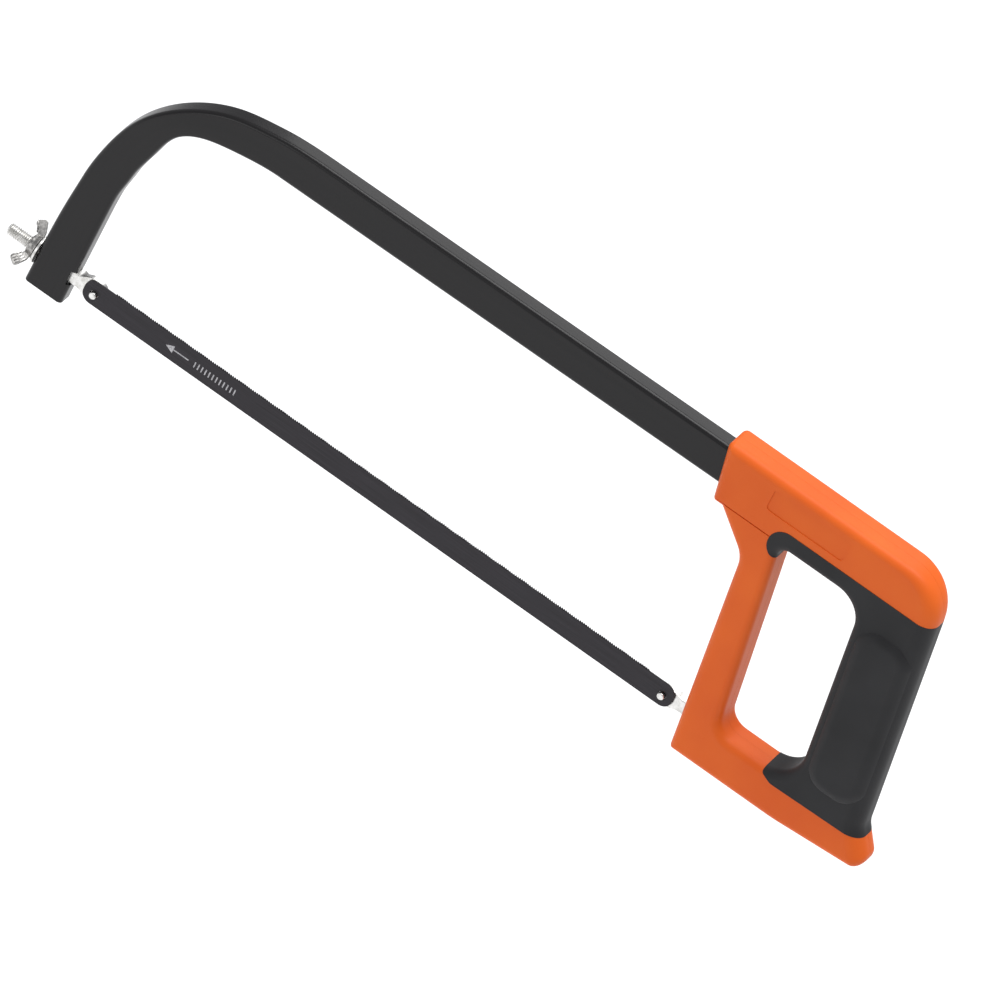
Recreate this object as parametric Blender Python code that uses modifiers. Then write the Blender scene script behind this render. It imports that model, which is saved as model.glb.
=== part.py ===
"""A 12-inch hacksaw: a bent rectangular steel tube, a two-shell D-handle with a soft
overmould, and a blade held between two zinc-plated tongues, tensioned by a wing nut.

Every size below is in millimetres and becomes metres where geometry is made. The saw
lies in the XZ plane, cutting towards -X, with the handle at +X. Places in that plane are
given as (along, up): the distance behind the front blade pin and the height above it.
"""
import math

import bmesh
import bpy
from mathutils import Matrix, Vector

MM = 0.001
FIT_GAP = 0.3             # clearance between two pieces that touch
HALF_GAP = FIT_GAP / 2

# The front blade pin, measured from the middle of the saw and from the handle's base.
PIN_X = -182.4
PIN_Z = 17.2

# Blade: 12 in x 1/2 in x 24 teeth per inch, teeth on the edge that faces the tube.
PIN_SPACING = 300.0
BLADE_WIDTH = 12.7
BLADE_THICKNESS = 0.65
BLADE_END = 5.3           # past each hole
BLADE_CENTRE_UP = 1.15
BLADE_HOLE_RADIUS = 2.1
BLADE_NEAR_FACE = -3.35
TOOTH_PITCH = 25.4 / 24
TOOTH_DEPTH = 0.75
TOOTHED_FROM = 9.0
TOOTH_COUNT = 266

# Frame tube: 19 x 10 x 1.2 mm rectangular tube.
TUBE_DEPTH = 19.2
TUBE_WIDTH = 10.0
TUBE_WALL = 1.2
TUBE_CORNER = 2.2
TUBE_UNDERSIDE_UP = 108.9 # where the bend ends
TUBE_RISE = 0.0086        # slope of the long run, up towards the handle
TUBE_END_ALONG = 372.0
LEG_INNER_ALONG = -10.8
LEG_FOOT_UP = -13.3
BEND_INNER_RADIUS = 60.0
BEND_BUCKLE = 6.7         # how far the inner wall is pushed into the tube at mid-bend
BEND_BULGE = 0.13         # how much wider the side walls get there
BEND_STEPS = 20

# Holders: forged tongues on square shanks, the front one with an M6 rod.
SHANK_AXIS_UP = 0.8
SHANK_SIZE = 6.4
ROD_RADIUS = 3.0
ROD_TIP_ALONG = -47.0
TONGUE_NEAR_FACE = -2.4
TONGUE_FAR_FACE = 0.6
PIN_RADIUS = 1.75
PIN_HOLE_RADIUS = 2.05
PIN_NEAR_END = -5.0

# Handle: two shells, 18.5 mm over both, with a soft skin let into them.
HANDLE_HALF = 9.25
HANDLE_EDGE = 4.0
RIM_STEPS = 3
SKIN = 2.0
GRIP_PROUD = 0.2
SWELL_HALF = 11.3
SWELL_EDGE = 4.5
CAVITY_HALF = 6.6
HANDLE_OUTLINE = [
    (313.9, -17.2, 2.0), (368.0, -17.2, 60.0), (415.6, -13.6, 5.0), (404.2, 4.0, 12.0),
    (388.8, 134.8, 22.0), (275.0, 134.8, 2.5), (280.3, 104.4, 2.0), (285.2, 104.4, 0.5),
    (302.5, 88.2, 14.0),
]
OPENING_OUTLINE = [
    (329.2, 4.0, 9.0), (369.8, 4.0, 15.0), (358.3, 104.5, 14.0), (315.6, 104.5, 5.0),
]
SOFT_REGION = [
    (430.0, 1.0, 0), (430.0, 114.0, 0), (310.1, 114.0, 8.1), (310.1, 97.6, 8.1),
    (334.0, 97.6, 0), (334.0, 60.0, 0), (355.0, 60.0, 0), (355.0, 2.0, 2.0),
    (360.5, -0.6, 4.0),
]
SWELL_OUTLINE = [
    (371.0, 10.0, 12.0), (401.3, 10.0, 12.0), (391.0, 100.0, 12.0), (360.7, 100.0, 12.0),
]

# Strap from the tube down the front post, 2.5 mm steel.
STRAP_THICKNESS = 2.5
STRAP_HALF_WIDTH = 5.8
STRAP_FOOT_ALONG = 320.6
STRAP_FOOT_UP = -9.0
STRAP_TOP_ALONG = 311.0
STRAP_TAB_FRONT = 288.0
STRAP_TAB_UNDER_UP = 108.1
RIVET_ALONGS = (293.0, 301.0)
RIVET_RADIUS = 1.5

# Screws: (along, up, seat of the head across, tip across).
SCREWS = [
    (292.0, 119.8, 6.75, -7.4), (356.0, 119.8, 6.75, -7.4), (380.0, 119.0, 6.75, -6.0),
    (380.4, 60.0, 6.95, -6.0), (388.0, -6.5, 6.75, -6.0), (350.0, -6.5, 6.75, -6.0),
]
BOSSED_SCREWS = SCREWS[2:]
TUBE_SCREWS = SCREWS[:2]
SCREW_RADIUS = 1.5
SCREW_HEAD_RADIUS = 3.0
SCREW_HEAD_HEIGHT = 1.9
BOSS_RADIUS = 3.4

# Washer and wing nut.
WASHER_RADIUS = 6.5
WASHER_THICKNESS = 1.2
NUT_HEIGHT = 3.8
WING_TURN = math.radians(53)
WING_THICKNESS = 2.2

ARC_STEP = math.radians(18)
ROUND_STEPS = 24
SMALL_STEPS = 14          # for screws, rivets and their holes
FAR = 30.0                # a distance past either side of the saw


def place(along, up, across=0.0):
    """World position, in metres, of a point given from the front blade pin."""
    return Vector((PIN_X + along, across, PIN_Z + up)) * MM


def clear_scene():
    for obj in list(bpy.data.objects):
        bpy.data.objects.remove(obj, do_unlink=True)


def new_collection(name):
    collection = bpy.data.collections.new(name)
    bpy.context.scene.collection.children.link(collection)
    return collection


def make_material(name, colour, roughness, metallic=0.0):
    material = bpy.data.materials.new(name)
    material.use_nodes = True
    shader = material.node_tree.nodes["Principled BSDF"]
    shader.inputs["Base Color"].default_value = (*colour, 1.0)
    shader.inputs["Roughness"].default_value = roughness
    shader.inputs["Metallic"].default_value = metallic
    return material


def add_object(name, mesh, material=None):
    """Link a mesh as a part of the saw, or as a cutter if it has no material."""
    obj = bpy.data.objects.new(name, mesh)
    if material is None:
        cutters.objects.link(obj)
        obj.hide_render = True
        obj.display_type = "WIRE"
    else:
        saw.objects.link(obj)
        mesh.materials.append(material)
    return obj


def rounded(corners):
    """Points of a closed outline whose corners (along, up, radius) are rounded."""
    points = []
    for i, (along, up, radius) in enumerate(corners):
        here = Vector((along, up))
        if radius == 0:
            points.append(here)
            continue
        back = (Vector(corners[i - 1][:2]) - here).normalized()
        onward = (Vector(corners[(i + 1) % len(corners)][:2]) - here).normalized()
        half = back.angle(onward) / 2
        centre = here + (back + onward).normalized() * radius / math.sin(half)
        arm = here + back * radius / math.tan(half) - centre
        turn = math.pi - 2 * half
        sense = 1 if back.x * onward.y < back.y * onward.x else -1
        steps = max(1, math.ceil(turn / ARC_STEP - 0.01))
        for k in range(steps + 1):
            points.append(centre + Matrix.Rotation(sense * turn * k / steps, 2) @ arm)
    return points


def grown(corners, distance):
    """An anticlockwise outline moved outwards by a distance, or inwards if negative."""
    result = []
    for i, (along, up, radius) in enumerate(corners):
        here = Vector((along, up))
        into = (here - Vector(corners[i - 1][:2])).normalized()
        away = (Vector(corners[(i + 1) % len(corners)][:2]) - here).normalized()
        normals = Vector((into.y, -into.x)) + Vector((away.y, -away.x))
        moved = here + normals * distance / (1 + into.dot(away))
        convex = into.x * away.y > into.y * away.x
        new_radius = max(radius + (distance if convex else -distance), 0.02)
        result.append((moved.x, moved.y, new_radius if radius else 0))
    return result


def plate(name, loops, near, far, material=None, origin=(0.0, 0.0)):
    """A flat plate between two distances across the saw; later loops are its holes."""
    curve = bpy.data.curves.new(name, "CURVE")
    curve.dimensions = "2D"
    curve.fill_mode = "BOTH"
    curve.extrude = (far - near) / 2 * MM
    for loop in loops:
        spline = curve.splines.new("POLY")
        spline.points.add(len(loop) - 1)
        spline.use_cyclic_u = True
        for point, (along, up) in zip(spline.points, loop):
            point.co = ((along - origin[0]) * MM, (up - origin[1]) * MM, 0, 1)
    drawn = bpy.data.objects.new(name + "_outline", curve)
    bpy.context.scene.collection.objects.link(drawn)
    drawn.location = place(*origin, (near + far) / 2)
    drawn.rotation_euler = (math.pi / 2, 0, 0)
    bpy.context.view_layer.update()
    evaluated = drawn.evaluated_get(bpy.context.evaluated_depsgraph_get())
    mesh = bpy.data.meshes.new_from_object(evaluated)
    mesh.name = name
    weld(mesh)
    obj = add_object(name, mesh, material)
    obj.matrix_world = drawn.matrix_world
    bpy.data.objects.remove(drawn)
    return obj


def rounded_plate(name, outlines, half, edge, material=None):
    """A plate lofted across the saw with round rims; outlines after the first are holes."""
    levels = []
    for k in range(RIM_STEPS + 1):
        angle = math.pi / 2 * k / RIM_STEPS
        levels.append((-half + edge * (1 - math.cos(angle)), edge * (1 - math.sin(angle))))
    levels += [(-across, inset) for across, inset in reversed(levels)]
    mesh = bpy.data.meshes.new(name)
    work = bmesh.new()
    rims = ([], [])
    for corners, sense in zip(outlines, (-1, 1)):
        rings = [[work.verts.new(place(*point, across))
                  for point in rounded(grown(corners, sense * inset))]
                 for across, inset in levels]
        for ring, following in zip(rings, rings[1:]):
            for k in range(len(ring)):
                work.faces.new((ring[k - 1], ring[k], following[k], following[k - 1]))
        for rim, ring in zip(rims, (rings[0], rings[-1])):
            rim += [work.edges.get((ring[k - 1], ring[k])) for k in range(len(ring))]
    for rim in rims:
        bmesh.ops.triangle_fill(work, use_beauty=True, edges=rim)
    bmesh.ops.recalc_face_normals(work, faces=work.faces)
    work.to_mesh(mesh)
    work.free()
    return add_object(name, mesh, material)


def weld(mesh):
    """Join a mesh's loose caps to its walls, with every face turned outwards."""
    work = bmesh.new()
    work.from_mesh(mesh)
    bmesh.ops.remove_doubles(work, verts=work.verts, dist=0.000001)
    bmesh.ops.recalc_face_normals(work, faces=work.faces)
    work.to_mesh(mesh)
    work.free()


def block(name, low, high, material=None):
    """A box between two corners given as (along, across, up)."""
    mesh = bpy.data.meshes.new(name)
    work = bmesh.new()
    bmesh.ops.create_cube(work, size=1.0)
    size = Vector(high) - Vector(low)
    bmesh.ops.scale(work, vec=size * MM, verts=work.verts)
    work.to_mesh(mesh)
    work.free()
    obj = add_object(name, mesh, material)
    middle = (Vector(high) + Vector(low)) / 2
    obj.location = place(middle.x, middle.z, middle.y)
    return obj


def drills(name, bars):
    """Cutter or boss of separate cylinders, each (start, end, radius) in the saw's places."""
    mesh = bpy.data.meshes.new(name)
    work = bmesh.new()
    for start, end, radius in bars:
        start = place(*start)
        end = place(*end)
        run = end - start
        turn = run.to_track_quat("Z", "Y").to_matrix().to_4x4()
        bmesh.ops.create_cone(
            work, cap_ends=True, segments=SMALL_STEPS, radius1=radius * MM, radius2=radius * MM,
            depth=run.length, matrix=Matrix.Translation((start + end) / 2) @ turn)
    work.to_mesh(mesh)
    work.free()
    return add_object(name, mesh)


def turned(name, profile, location, rotation, material=None, closed=False, steps=ROUND_STEPS):
    """A round piece: its profile (radius, height) runs down the outside, top to bottom."""
    mesh = bpy.data.meshes.new(name)
    work = bmesh.new()
    verts = [work.verts.new((radius * MM, 0, height * MM)) for radius, height in profile]
    for first, second in zip(verts, verts[1:]):
        work.edges.new((first, second))
    if closed:
        work.edges.new((verts[-1], verts[0]))
    work.to_mesh(mesh)
    work.free()
    obj = add_object(name, mesh, material)
    screw = obj.modifiers.new("Turn", "SCREW")
    screw.steps = steps
    screw.render_steps = steps
    screw.use_merge_vertices = True
    screw.merge_threshold = 0.00001
    screw.use_smooth_shade = True
    obj.location = location
    obj.rotation_euler = rotation
    return obj


def boolean(obj, other, operation="DIFFERENCE"):
    modifier = obj.modifiers.new(operation.title(), "BOOLEAN")
    modifier.operation = operation
    modifier.object = other
    modifier.solver = "EXACT"


def round_edges(obj, width, segments):
    bevel = obj.modifiers.new("Rounding", "BEVEL")
    bevel.width = width * MM
    bevel.segments = segments
    bevel.limit_method = "ANGLE"
    bevel.angle_limit = math.radians(50)


def ride_on(pivot_name, location, children):
    """An empty on a moving body's axis, with the body's pieces as its children."""
    pivot = bpy.data.objects.new(pivot_name, None)
    saw.objects.link(pivot)
    pivot.location = location
    bpy.context.view_layer.update()
    for child in children:
        child.parent = pivot
        child.matrix_parent_inverse = pivot.matrix_world.inverted()


def swell_at(turn, middle, before, after):
    """A smooth rise to 1 where the tube has turned by a middle angle, all in degrees."""
    return math.exp(-((turn - middle) / (before if turn < middle else after)) ** 2)


def tube_ring(depth, width, corner, turn):
    """Section of the tube: points (outwards from the bend, across), anticlockwise."""
    turn = math.degrees(turn)
    drawn_in = 2.4 * swell_at(turn, 11, 23, 18) + 1.2 * swell_at(turn, 80, 11, 11)
    buckled = BEND_BUCKLE * swell_at(turn, 46.5, 14.5, 19) - 0.8 * swell_at(turn, 10, 9, 7)
    bulge = BEND_BULGE * swell_at(turn, 46, 22, 26)
    ring = []
    for index, (side_n, side_y) in enumerate(((1, 1), (-1, 1), (-1, -1), (1, -1))):
        for k in range(4):
            angle = math.pi / 2 * (index + k / 3)
            n = side_n * (depth / 2 - corner) + corner * math.cos(angle)
            y = side_y * (width / 2 - corner) + corner * math.sin(angle)
            reach = (n + depth / 2) / depth
            y *= 1 + bulge * math.sin(math.pi * (0.15 + 0.7 * reach)) * (1.2 - reach * 0.6)
            ring.append((n - drawn_in * reach + buckled * (1 - reach), y))
    return ring


def tube_station(turn):
    """Centre of the tube (along, up) and its outward direction; straights lie past 0 and 90."""
    radius = BEND_INNER_RADIUS + TUBE_DEPTH / 2
    angle = math.pi - min(max(turn, 0), math.pi / 2)
    along = LEG_INNER_ALONG + BEND_INNER_RADIUS + radius * math.cos(angle)
    up = TUBE_UNDERSIDE_UP - BEND_INNER_RADIUS + radius * math.sin(angle)
    run = radius * max(turn - math.pi / 2, 0)
    return along + run, up + run * TUBE_RISE + radius * min(turn, 0), angle


def tube_underside(along):
    """Height of the tube's underside on its long run."""
    return TUBE_UNDERSIDE_UP + TUBE_RISE * (along - LEG_INNER_ALONG - BEND_INNER_RADIUS)


def tube_turns():
    """How far the tube has turned at each of its sections, from the foot to the rear end."""
    radius = BEND_INNER_RADIUS + TUBE_DEPTH / 2
    foot = (LEG_FOOT_UP - TUBE_UNDERSIDE_UP + BEND_INNER_RADIUS) / radius
    rear = math.pi / 2 + (TUBE_END_ALONG - LEG_INNER_ALONG - BEND_INNER_RADIUS) / radius
    bend = [math.pi / 2 * k / BEND_STEPS for k in range(-4, BEND_STEPS + 5)]
    return [foot] + bend + [rear]


def make_frame_tube():
    mesh = bpy.data.meshes.new("frame_tube")
    work = bmesh.new()
    skins = []
    for inset in (0.0, TUBE_WALL):
        rings = []
        for turn in tube_turns():
            along, up, angle = tube_station(turn)
            section = tube_ring(TUBE_DEPTH - 2 * inset, TUBE_WIDTH - 2 * inset,
                                TUBE_CORNER - inset, turn)
            rings.append([
                work.verts.new(place(along + n * math.cos(angle), up + n * math.sin(angle), y))
                for n, y in section])
        skins.append(rings)
        for ring, following in zip(rings, rings[1:]):
            for k in range(len(ring)):
                work.faces.new((ring[k - 1], ring[k], following[k], following[k - 1]))
    for end in (0, -1):
        outer = skins[0][end]
        inner = skins[1][end]
        for k in range(len(outer)):
            work.faces.new((outer[k - 1], outer[k], inner[k], inner[k - 1]))
    bmesh.ops.recalc_face_normals(work, faces=work.faces)
    for face in work.faces:
        face.smooth = True
    work.to_mesh(mesh)
    work.free()
    mesh.set_sharp_from_angle(angle=math.radians(40))
    tube = add_object("frame_tube", mesh, black_paint)

    slot_half = SHANK_SIZE / 2 + FIT_GAP
    slot = block("leg_slot", (LEG_INNER_ALONG - 3, -slot_half, SHANK_AXIS_UP - slot_half - 0.2),
                 (LEG_INNER_ALONG + 3, slot_half, SHANK_AXIS_UP + slot_half + 0.2))
    boolean(tube, slot)
    leg_outer = LEG_INNER_ALONG - TUBE_DEPTH
    clear = SCREW_RADIUS + FIT_GAP
    bars = [((leg_outer - 3, SHANK_AXIS_UP), (leg_outer + 3, SHANK_AXIS_UP), ROD_RADIUS + 0.4)]
    for along, up, _, _ in TUBE_SCREWS:
        bars.append(((along, up, -FAR), (along, up, FAR), clear))
    for along in RIVET_ALONGS:
        under = tube_underside(along)
        bars.append(((along, under - 3), (along, under + 3), RIVET_RADIUS + FIT_GAP))
    boolean(tube, drills("tube_holes", bars))


def strap_line(up):
    """Where the front face of the strap lies at a height."""
    drop = (STRAP_TAB_UNDER_UP - up) / (STRAP_TAB_UNDER_UP - STRAP_FOOT_UP)
    return STRAP_TOP_ALONG + (STRAP_FOOT_ALONG - STRAP_TOP_ALONG) * drop - STRAP_THICKNESS


def make_tension_strap():
    tab_top = STRAP_TAB_UNDER_UP + STRAP_THICKNESS
    outline = [
        (STRAP_TAB_FRONT, STRAP_TAB_UNDER_UP, 0),
        (strap_line(STRAP_TAB_UNDER_UP), STRAP_TAB_UNDER_UP, 1.0),
        (strap_line(STRAP_FOOT_UP), STRAP_FOOT_UP, 0),
        (strap_line(STRAP_FOOT_UP) + STRAP_THICKNESS, STRAP_FOOT_UP, 0),
        (STRAP_TOP_ALONG, tab_top, 3.0),
        (STRAP_TAB_FRONT, tab_top, 0),
    ]
    strap = plate("tension_strap", [rounded(outline)], -STRAP_HALF_WIDTH, STRAP_HALF_WIDTH, steel)
    hole_half = SHANK_SIZE / 2 + FIT_GAP
    boolean(strap, block("strap_window", (STRAP_TOP_ALONG, -hole_half, SHANK_AXIS_UP - hole_half),
                         (STRAP_FOOT_ALONG + 6, hole_half, SHANK_AXIS_UP + hole_half)))
    bars = [((along, STRAP_TAB_UNDER_UP - 2), (along, tab_top + 2), RIVET_RADIUS + FIT_GAP)
            for along in RIVET_ALONGS]
    boolean(strap, drills("strap_rivet_holes", bars))
    base = STRAP_TAB_UNDER_UP
    for label, along in zip(("front", "rear"), RIVET_ALONGS):
        head = tube_underside(along) + TUBE_WALL + FIT_GAP - base
        profile = [(0, head + 0.9), (2.3, head + 0.9), (2.7, head + 0.5), (2.7, head),
                   (RIVET_RADIUS, head), (RIVET_RADIUS, 0), (0, 0)]
        turned("strap_rivet_" + label, profile, place(along, base), (0, 0, 0), steel,
               steps=SMALL_STEPS)


def handle_core(name, inset, half):
    """The D-shaped body of the handle, square-edged and drawn in by an inset, as a cutter."""
    loops = [rounded(grown(HANDLE_OUTLINE, -inset)), rounded(grown(OPENING_OUTLINE, inset))]
    return plate(name, loops, -half, half)


def keep_side(obj, side):
    """Cut away what lies past the parting plane of the two shells."""
    low, high = sorted((-side * HALF_GAP, side * FAR))
    other = block(obj.name + "_parting", (200, -high, -60), (460, -low, 180))
    boolean(obj, other)


def handle_cavities():
    """The spaces inside the shells, as (name, outline, half width)."""
    post_front = 3.1
    post_rear = 13.2
    tube_room = [(265, -FIT_GAP), (TUBE_END_ALONG + FIT_GAP, -FIT_GAP),
                 (TUBE_END_ALONG + FIT_GAP, TUBE_DEPTH + FIT_GAP), (265, TUBE_DEPTH + FIT_GAP)]
    return [
        ("tube_channel", [(along, tube_underside(along) + above, 0)
                          for along, above in tube_room], TUBE_WIDTH / 2 + FIT_GAP),
        ("strap_tab_room", [(286.5, 106.7, 0), (312, 106.7, 0), (312, 112, 0), (286.5, 112, 0)],
         STRAP_HALF_WIDTH + 0.5),
        ("post_room", [(312.0 + post_front, -13.8, 0), (312.0 + post_rear, 4.5, 0),
                       (303.0 + post_rear - 1.4, 98.0, 0), (312.1, 106.9, 0),
                       (300.5 + post_front, 106.9, 0)], CAVITY_HALF),
        ("foot_room", [(315.4, -13.8, 0), (366, -13.8, 0), (400, -11.4, 0), (400, -2.6, 0),
                       (366, -2.6, 0), (336, 0.9, 0), (330.4, 0.9, 2), (329.9, 5.9, 0),
                       (316, 5.9, 0)], CAVITY_HALF),
        ("grip_room", [(374.4, 8, 4), (397.2, 8, 4), (386.3, 108, 4), (386.0, 127, 8),
                       (373.0, 129, 0), (373.0, 108, 0), (364.4, 101, 2)], 5.2),
    ]


def screw_bars(screws, radius, near, far):
    """Bars on the screws' axes; near and far are functions of a screw, across the saw."""
    return [((s[0], s[1], near(s)), (s[0], s[1], far(s)), radius) for s in screws]


def make_shell(label, side):
    """One moulded half of the handle: side -1 is the user's left, 1 the right."""
    name = "handle_shell_" + label
    shell = rounded_plate(name, [HANDLE_OUTLINE, OPENING_OUTLINE], HANDLE_HALF, HANDLE_EDGE,
                          orange_plastic)
    keep_side(shell, side)

    skin_room = plate(name + "_skin_room", [rounded(grown(SOFT_REGION, FIT_GAP))], -FAR, FAR)
    core = handle_core(name + "_core", SKIN + FIT_GAP, HANDLE_HALF - SKIN - FIT_GAP)
    boolean(skin_room, core)
    boolean(shell, skin_room)
    for room, outline, half in handle_cavities():
        boolean(shell, plate(f"{name}_{room}", [rounded(outline)], -half, half))
    window = SHANK_SIZE / 2 + FIT_GAP
    boolean(shell, block(name + "_holder_window", (305, -window, SHANK_AXIS_UP - 4.6),
                         (318, window, SHANK_AXIS_UP + 4.6)))

    bosses = screw_bars(BOSSED_SCREWS, BOSS_RADIUS, lambda s: side * HALF_GAP,
                        lambda s: side * (6.0 if s[2] == SCREWS[3][2] else 7.2))
    boolean(shell, drills(name + "_bosses", bosses), "UNION")
    clear = SCREW_RADIUS + FIT_GAP
    if side > 0:
        boolean(shell, drills(name + "_screw_holes",
                              screw_bars(SCREWS, clear, lambda s: -1.0, lambda s: FAR)))
        sunk = [s for s in SCREWS if s != SCREWS[3]]
        boolean(shell, drills(name + "_head_holes",
                              screw_bars(sunk, SCREW_HEAD_RADIUS + FIT_GAP,
                                         lambda s: s[2], lambda s: FAR)))
    else:
        boolean(shell, drills(name + "_pilot_holes",
                              screw_bars(SCREWS, clear, lambda s: s[3] - FIT_GAP, lambda s: 1.0)))


def make_grip(label, side):
    """The soft skin of one half: opening's roof, grip bar and the lower rear corner."""
    name = "grip_" + label
    grip = rounded_plate(name, [HANDLE_OUTLINE, OPENING_OUTLINE], HANDLE_HALF + GRIP_PROUD,
                         HANDLE_EDGE, soft_rubber)
    swell = rounded_plate(name + "_swell", [SWELL_OUTLINE], SWELL_HALF, SWELL_EDGE)
    boolean(grip, swell, "UNION")
    boolean(grip, plate(name + "_region", [rounded(SOFT_REGION)], -FAR, FAR), "INTERSECT")
    boolean(grip, handle_core(name + "_core", SKIN, HANDLE_HALF - SKIN))
    keep_side(grip, side)
    if side > 0:
        access = screw_bars([SCREWS[3]], SCREW_HEAD_RADIUS + 0.6, lambda s: 1.0, lambda s: FAR)
        boolean(grip, drills(name + "_screw_access", access))


def make_screws():
    for number, (along, up, seat, tip) in enumerate(SCREWS, start=1):
        under = seat + FIT_GAP
        profile = [(0, SCREW_HEAD_HEIGHT), (SCREW_HEAD_RADIUS * 0.7, SCREW_HEAD_HEIGHT),
                   (SCREW_HEAD_RADIUS, SCREW_HEAD_HEIGHT * 0.55), (SCREW_HEAD_RADIUS, 0),
                   (SCREW_RADIUS, 0), (SCREW_RADIUS, tip - under + 1.5), (0, tip - under)]
        turned(f"handle_screw_{number}", profile, place(along, up, under),
               (-math.pi / 2, 0, 0), zinc, steps=SMALL_STEPS)


def make_blade_pin(name, along):
    """A pin pressed through a tongue, with a riveted head at the back."""
    length = TONGUE_FAR_FACE + FIT_GAP - PIN_NEAR_END
    profile = [(0, length + 0.8), (2.2, length + 0.8), (2.8, length + 0.3), (2.8, length),
               (PIN_RADIUS, length), (PIN_RADIUS, 0.5), (PIN_RADIUS - 0.5, 0.1), (0, 0)]
    return turned(name, profile, place(along, 0, PIN_NEAR_END), (-math.pi / 2, 0, 0), zinc)


def make_front_holder():
    """Tongue, square shank and M6 rod in one piece, with its pin."""
    half = SHANK_SIZE / 2
    axis = SHANK_AXIS_UP
    outline = [(4.6, -4.8, 4.5), (4.6, 6.3, 4.5), (-3.4, 6.3, 3), (-8.2, axis + half, 1.5),
               (-12, axis + half, 0), (-12, axis - half, 0), (-8.2, axis - half, 1.5),
               (-3.6, -4.8, 3)]
    hole = rounded([(PIN_HOLE_RADIUS * x, PIN_HOLE_RADIUS * y, PIN_HOLE_RADIUS)
                    for x, y in ((-1, -1), (1, -1), (1, 1), (-1, 1))])
    holder = plate("front_holder", [rounded(outline), hole], TONGUE_NEAR_FACE, TONGUE_FAR_FACE,
                   zinc)
    shank = block("front_shank", (-24, -half, axis - half), (-7.2, half, axis + half))
    round_edges(shank, 0.4, 1)
    boolean(holder, shank, "UNION")
    rod = turned("front_rod", [(0, 26), (ROD_RADIUS, 26), (ROD_RADIUS, 0.8),
                               (ROD_RADIUS - 0.8, 0), (0, 0)],
                 place(ROD_TIP_ALONG, axis), (0, math.pi / 2, 0))
    boolean(holder, rod, "UNION")
    pin = make_blade_pin("front_blade_pin", 0)
    ride_on("front_holder_axis", place(0, axis), [holder, pin])


def make_rear_holder():
    """Tongue, square neck and the head that bears on the strap, with its pin."""
    half = SHANK_SIZE / 2
    axis = SHANK_AXIS_UP
    pin_along = PIN_SPACING
    outline = [(pin_along - 5.5, -4.4, 4), (pin_along + 4.5, -4.4, 3),
               (pin_along + 9.3, axis - half, 0.6), (pin_along + 9.3, axis + half, 0.6),
               (pin_along + 4.5, 4.6, 3), (pin_along - 5.5, 4.6, 4)]
    hole = rounded([(pin_along + PIN_HOLE_RADIUS * x, PIN_HOLE_RADIUS * y, PIN_HOLE_RADIUS)
                    for x, y in ((-1, -1), (1, -1), (1, 1), (-1, 1))])
    holder = plate("rear_holder", [rounded(outline), hole], TONGUE_NEAR_FACE, TONGUE_FAR_FACE,
                   zinc, origin=(pin_along, axis))
    behind_strap = strap_line(SHANK_AXIS_UP - half) + STRAP_THICKNESS + FIT_GAP + 0.1
    neck = block("rear_neck", (pin_along + 7.6, -half, axis - half),
                 (behind_strap + 1.0, half, axis + half))
    boolean(holder, neck, "UNION")
    head = block("rear_head", (behind_strap, -4.3, axis - 4.3), (behind_strap + 2.2, 4.3, axis + 4.3))
    round_edges(head, 0.5, 1)
    boolean(holder, head, "UNION")
    pin = make_blade_pin("rear_blade_pin", pin_along)
    ride_on("rear_holder_axis", place(pin_along, axis), [holder, pin])


def make_blade():
    """Hardened strip with 24 raked teeth per inch on its upper edge and a hole at each end."""
    top = BLADE_CENTRE_UP + BLADE_WIDTH / 2
    bottom = top - BLADE_WIDTH
    left = -BLADE_END
    right = PIN_SPACING + BLADE_END
    ends = rounded([(left, top - TOOTH_DEPTH * 0.4, 5), (left, bottom, 5), (right, bottom, 5),
                    (right, top - TOOTH_DEPTH * 0.4, 5)])
    teeth = []
    for k in range(TOOTH_COUNT):
        root = TOOTHED_FROM + k * TOOTH_PITCH
        teeth.append(Vector((root, top - TOOTH_DEPTH)))
        teeth.append(Vector((root + TOOTH_PITCH * 0.08, top)))
    teeth.append(Vector((TOOTHED_FROM + TOOTH_COUNT * TOOTH_PITCH, top - TOOTH_DEPTH)))
    loops = [ends + teeth[::-1]]
    for along in (0.0, PIN_SPACING):
        loops.append(rounded([(along + BLADE_HOLE_RADIUS * x, BLADE_HOLE_RADIUS * y,
                               BLADE_HOLE_RADIUS) for x, y in ((-1, -1), (1, -1), (1, 1), (-1, 1))]))
    plate("blade", loops, BLADE_NEAR_FACE, BLADE_NEAR_FACE + BLADE_THICKNESS, blade_steel)


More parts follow.
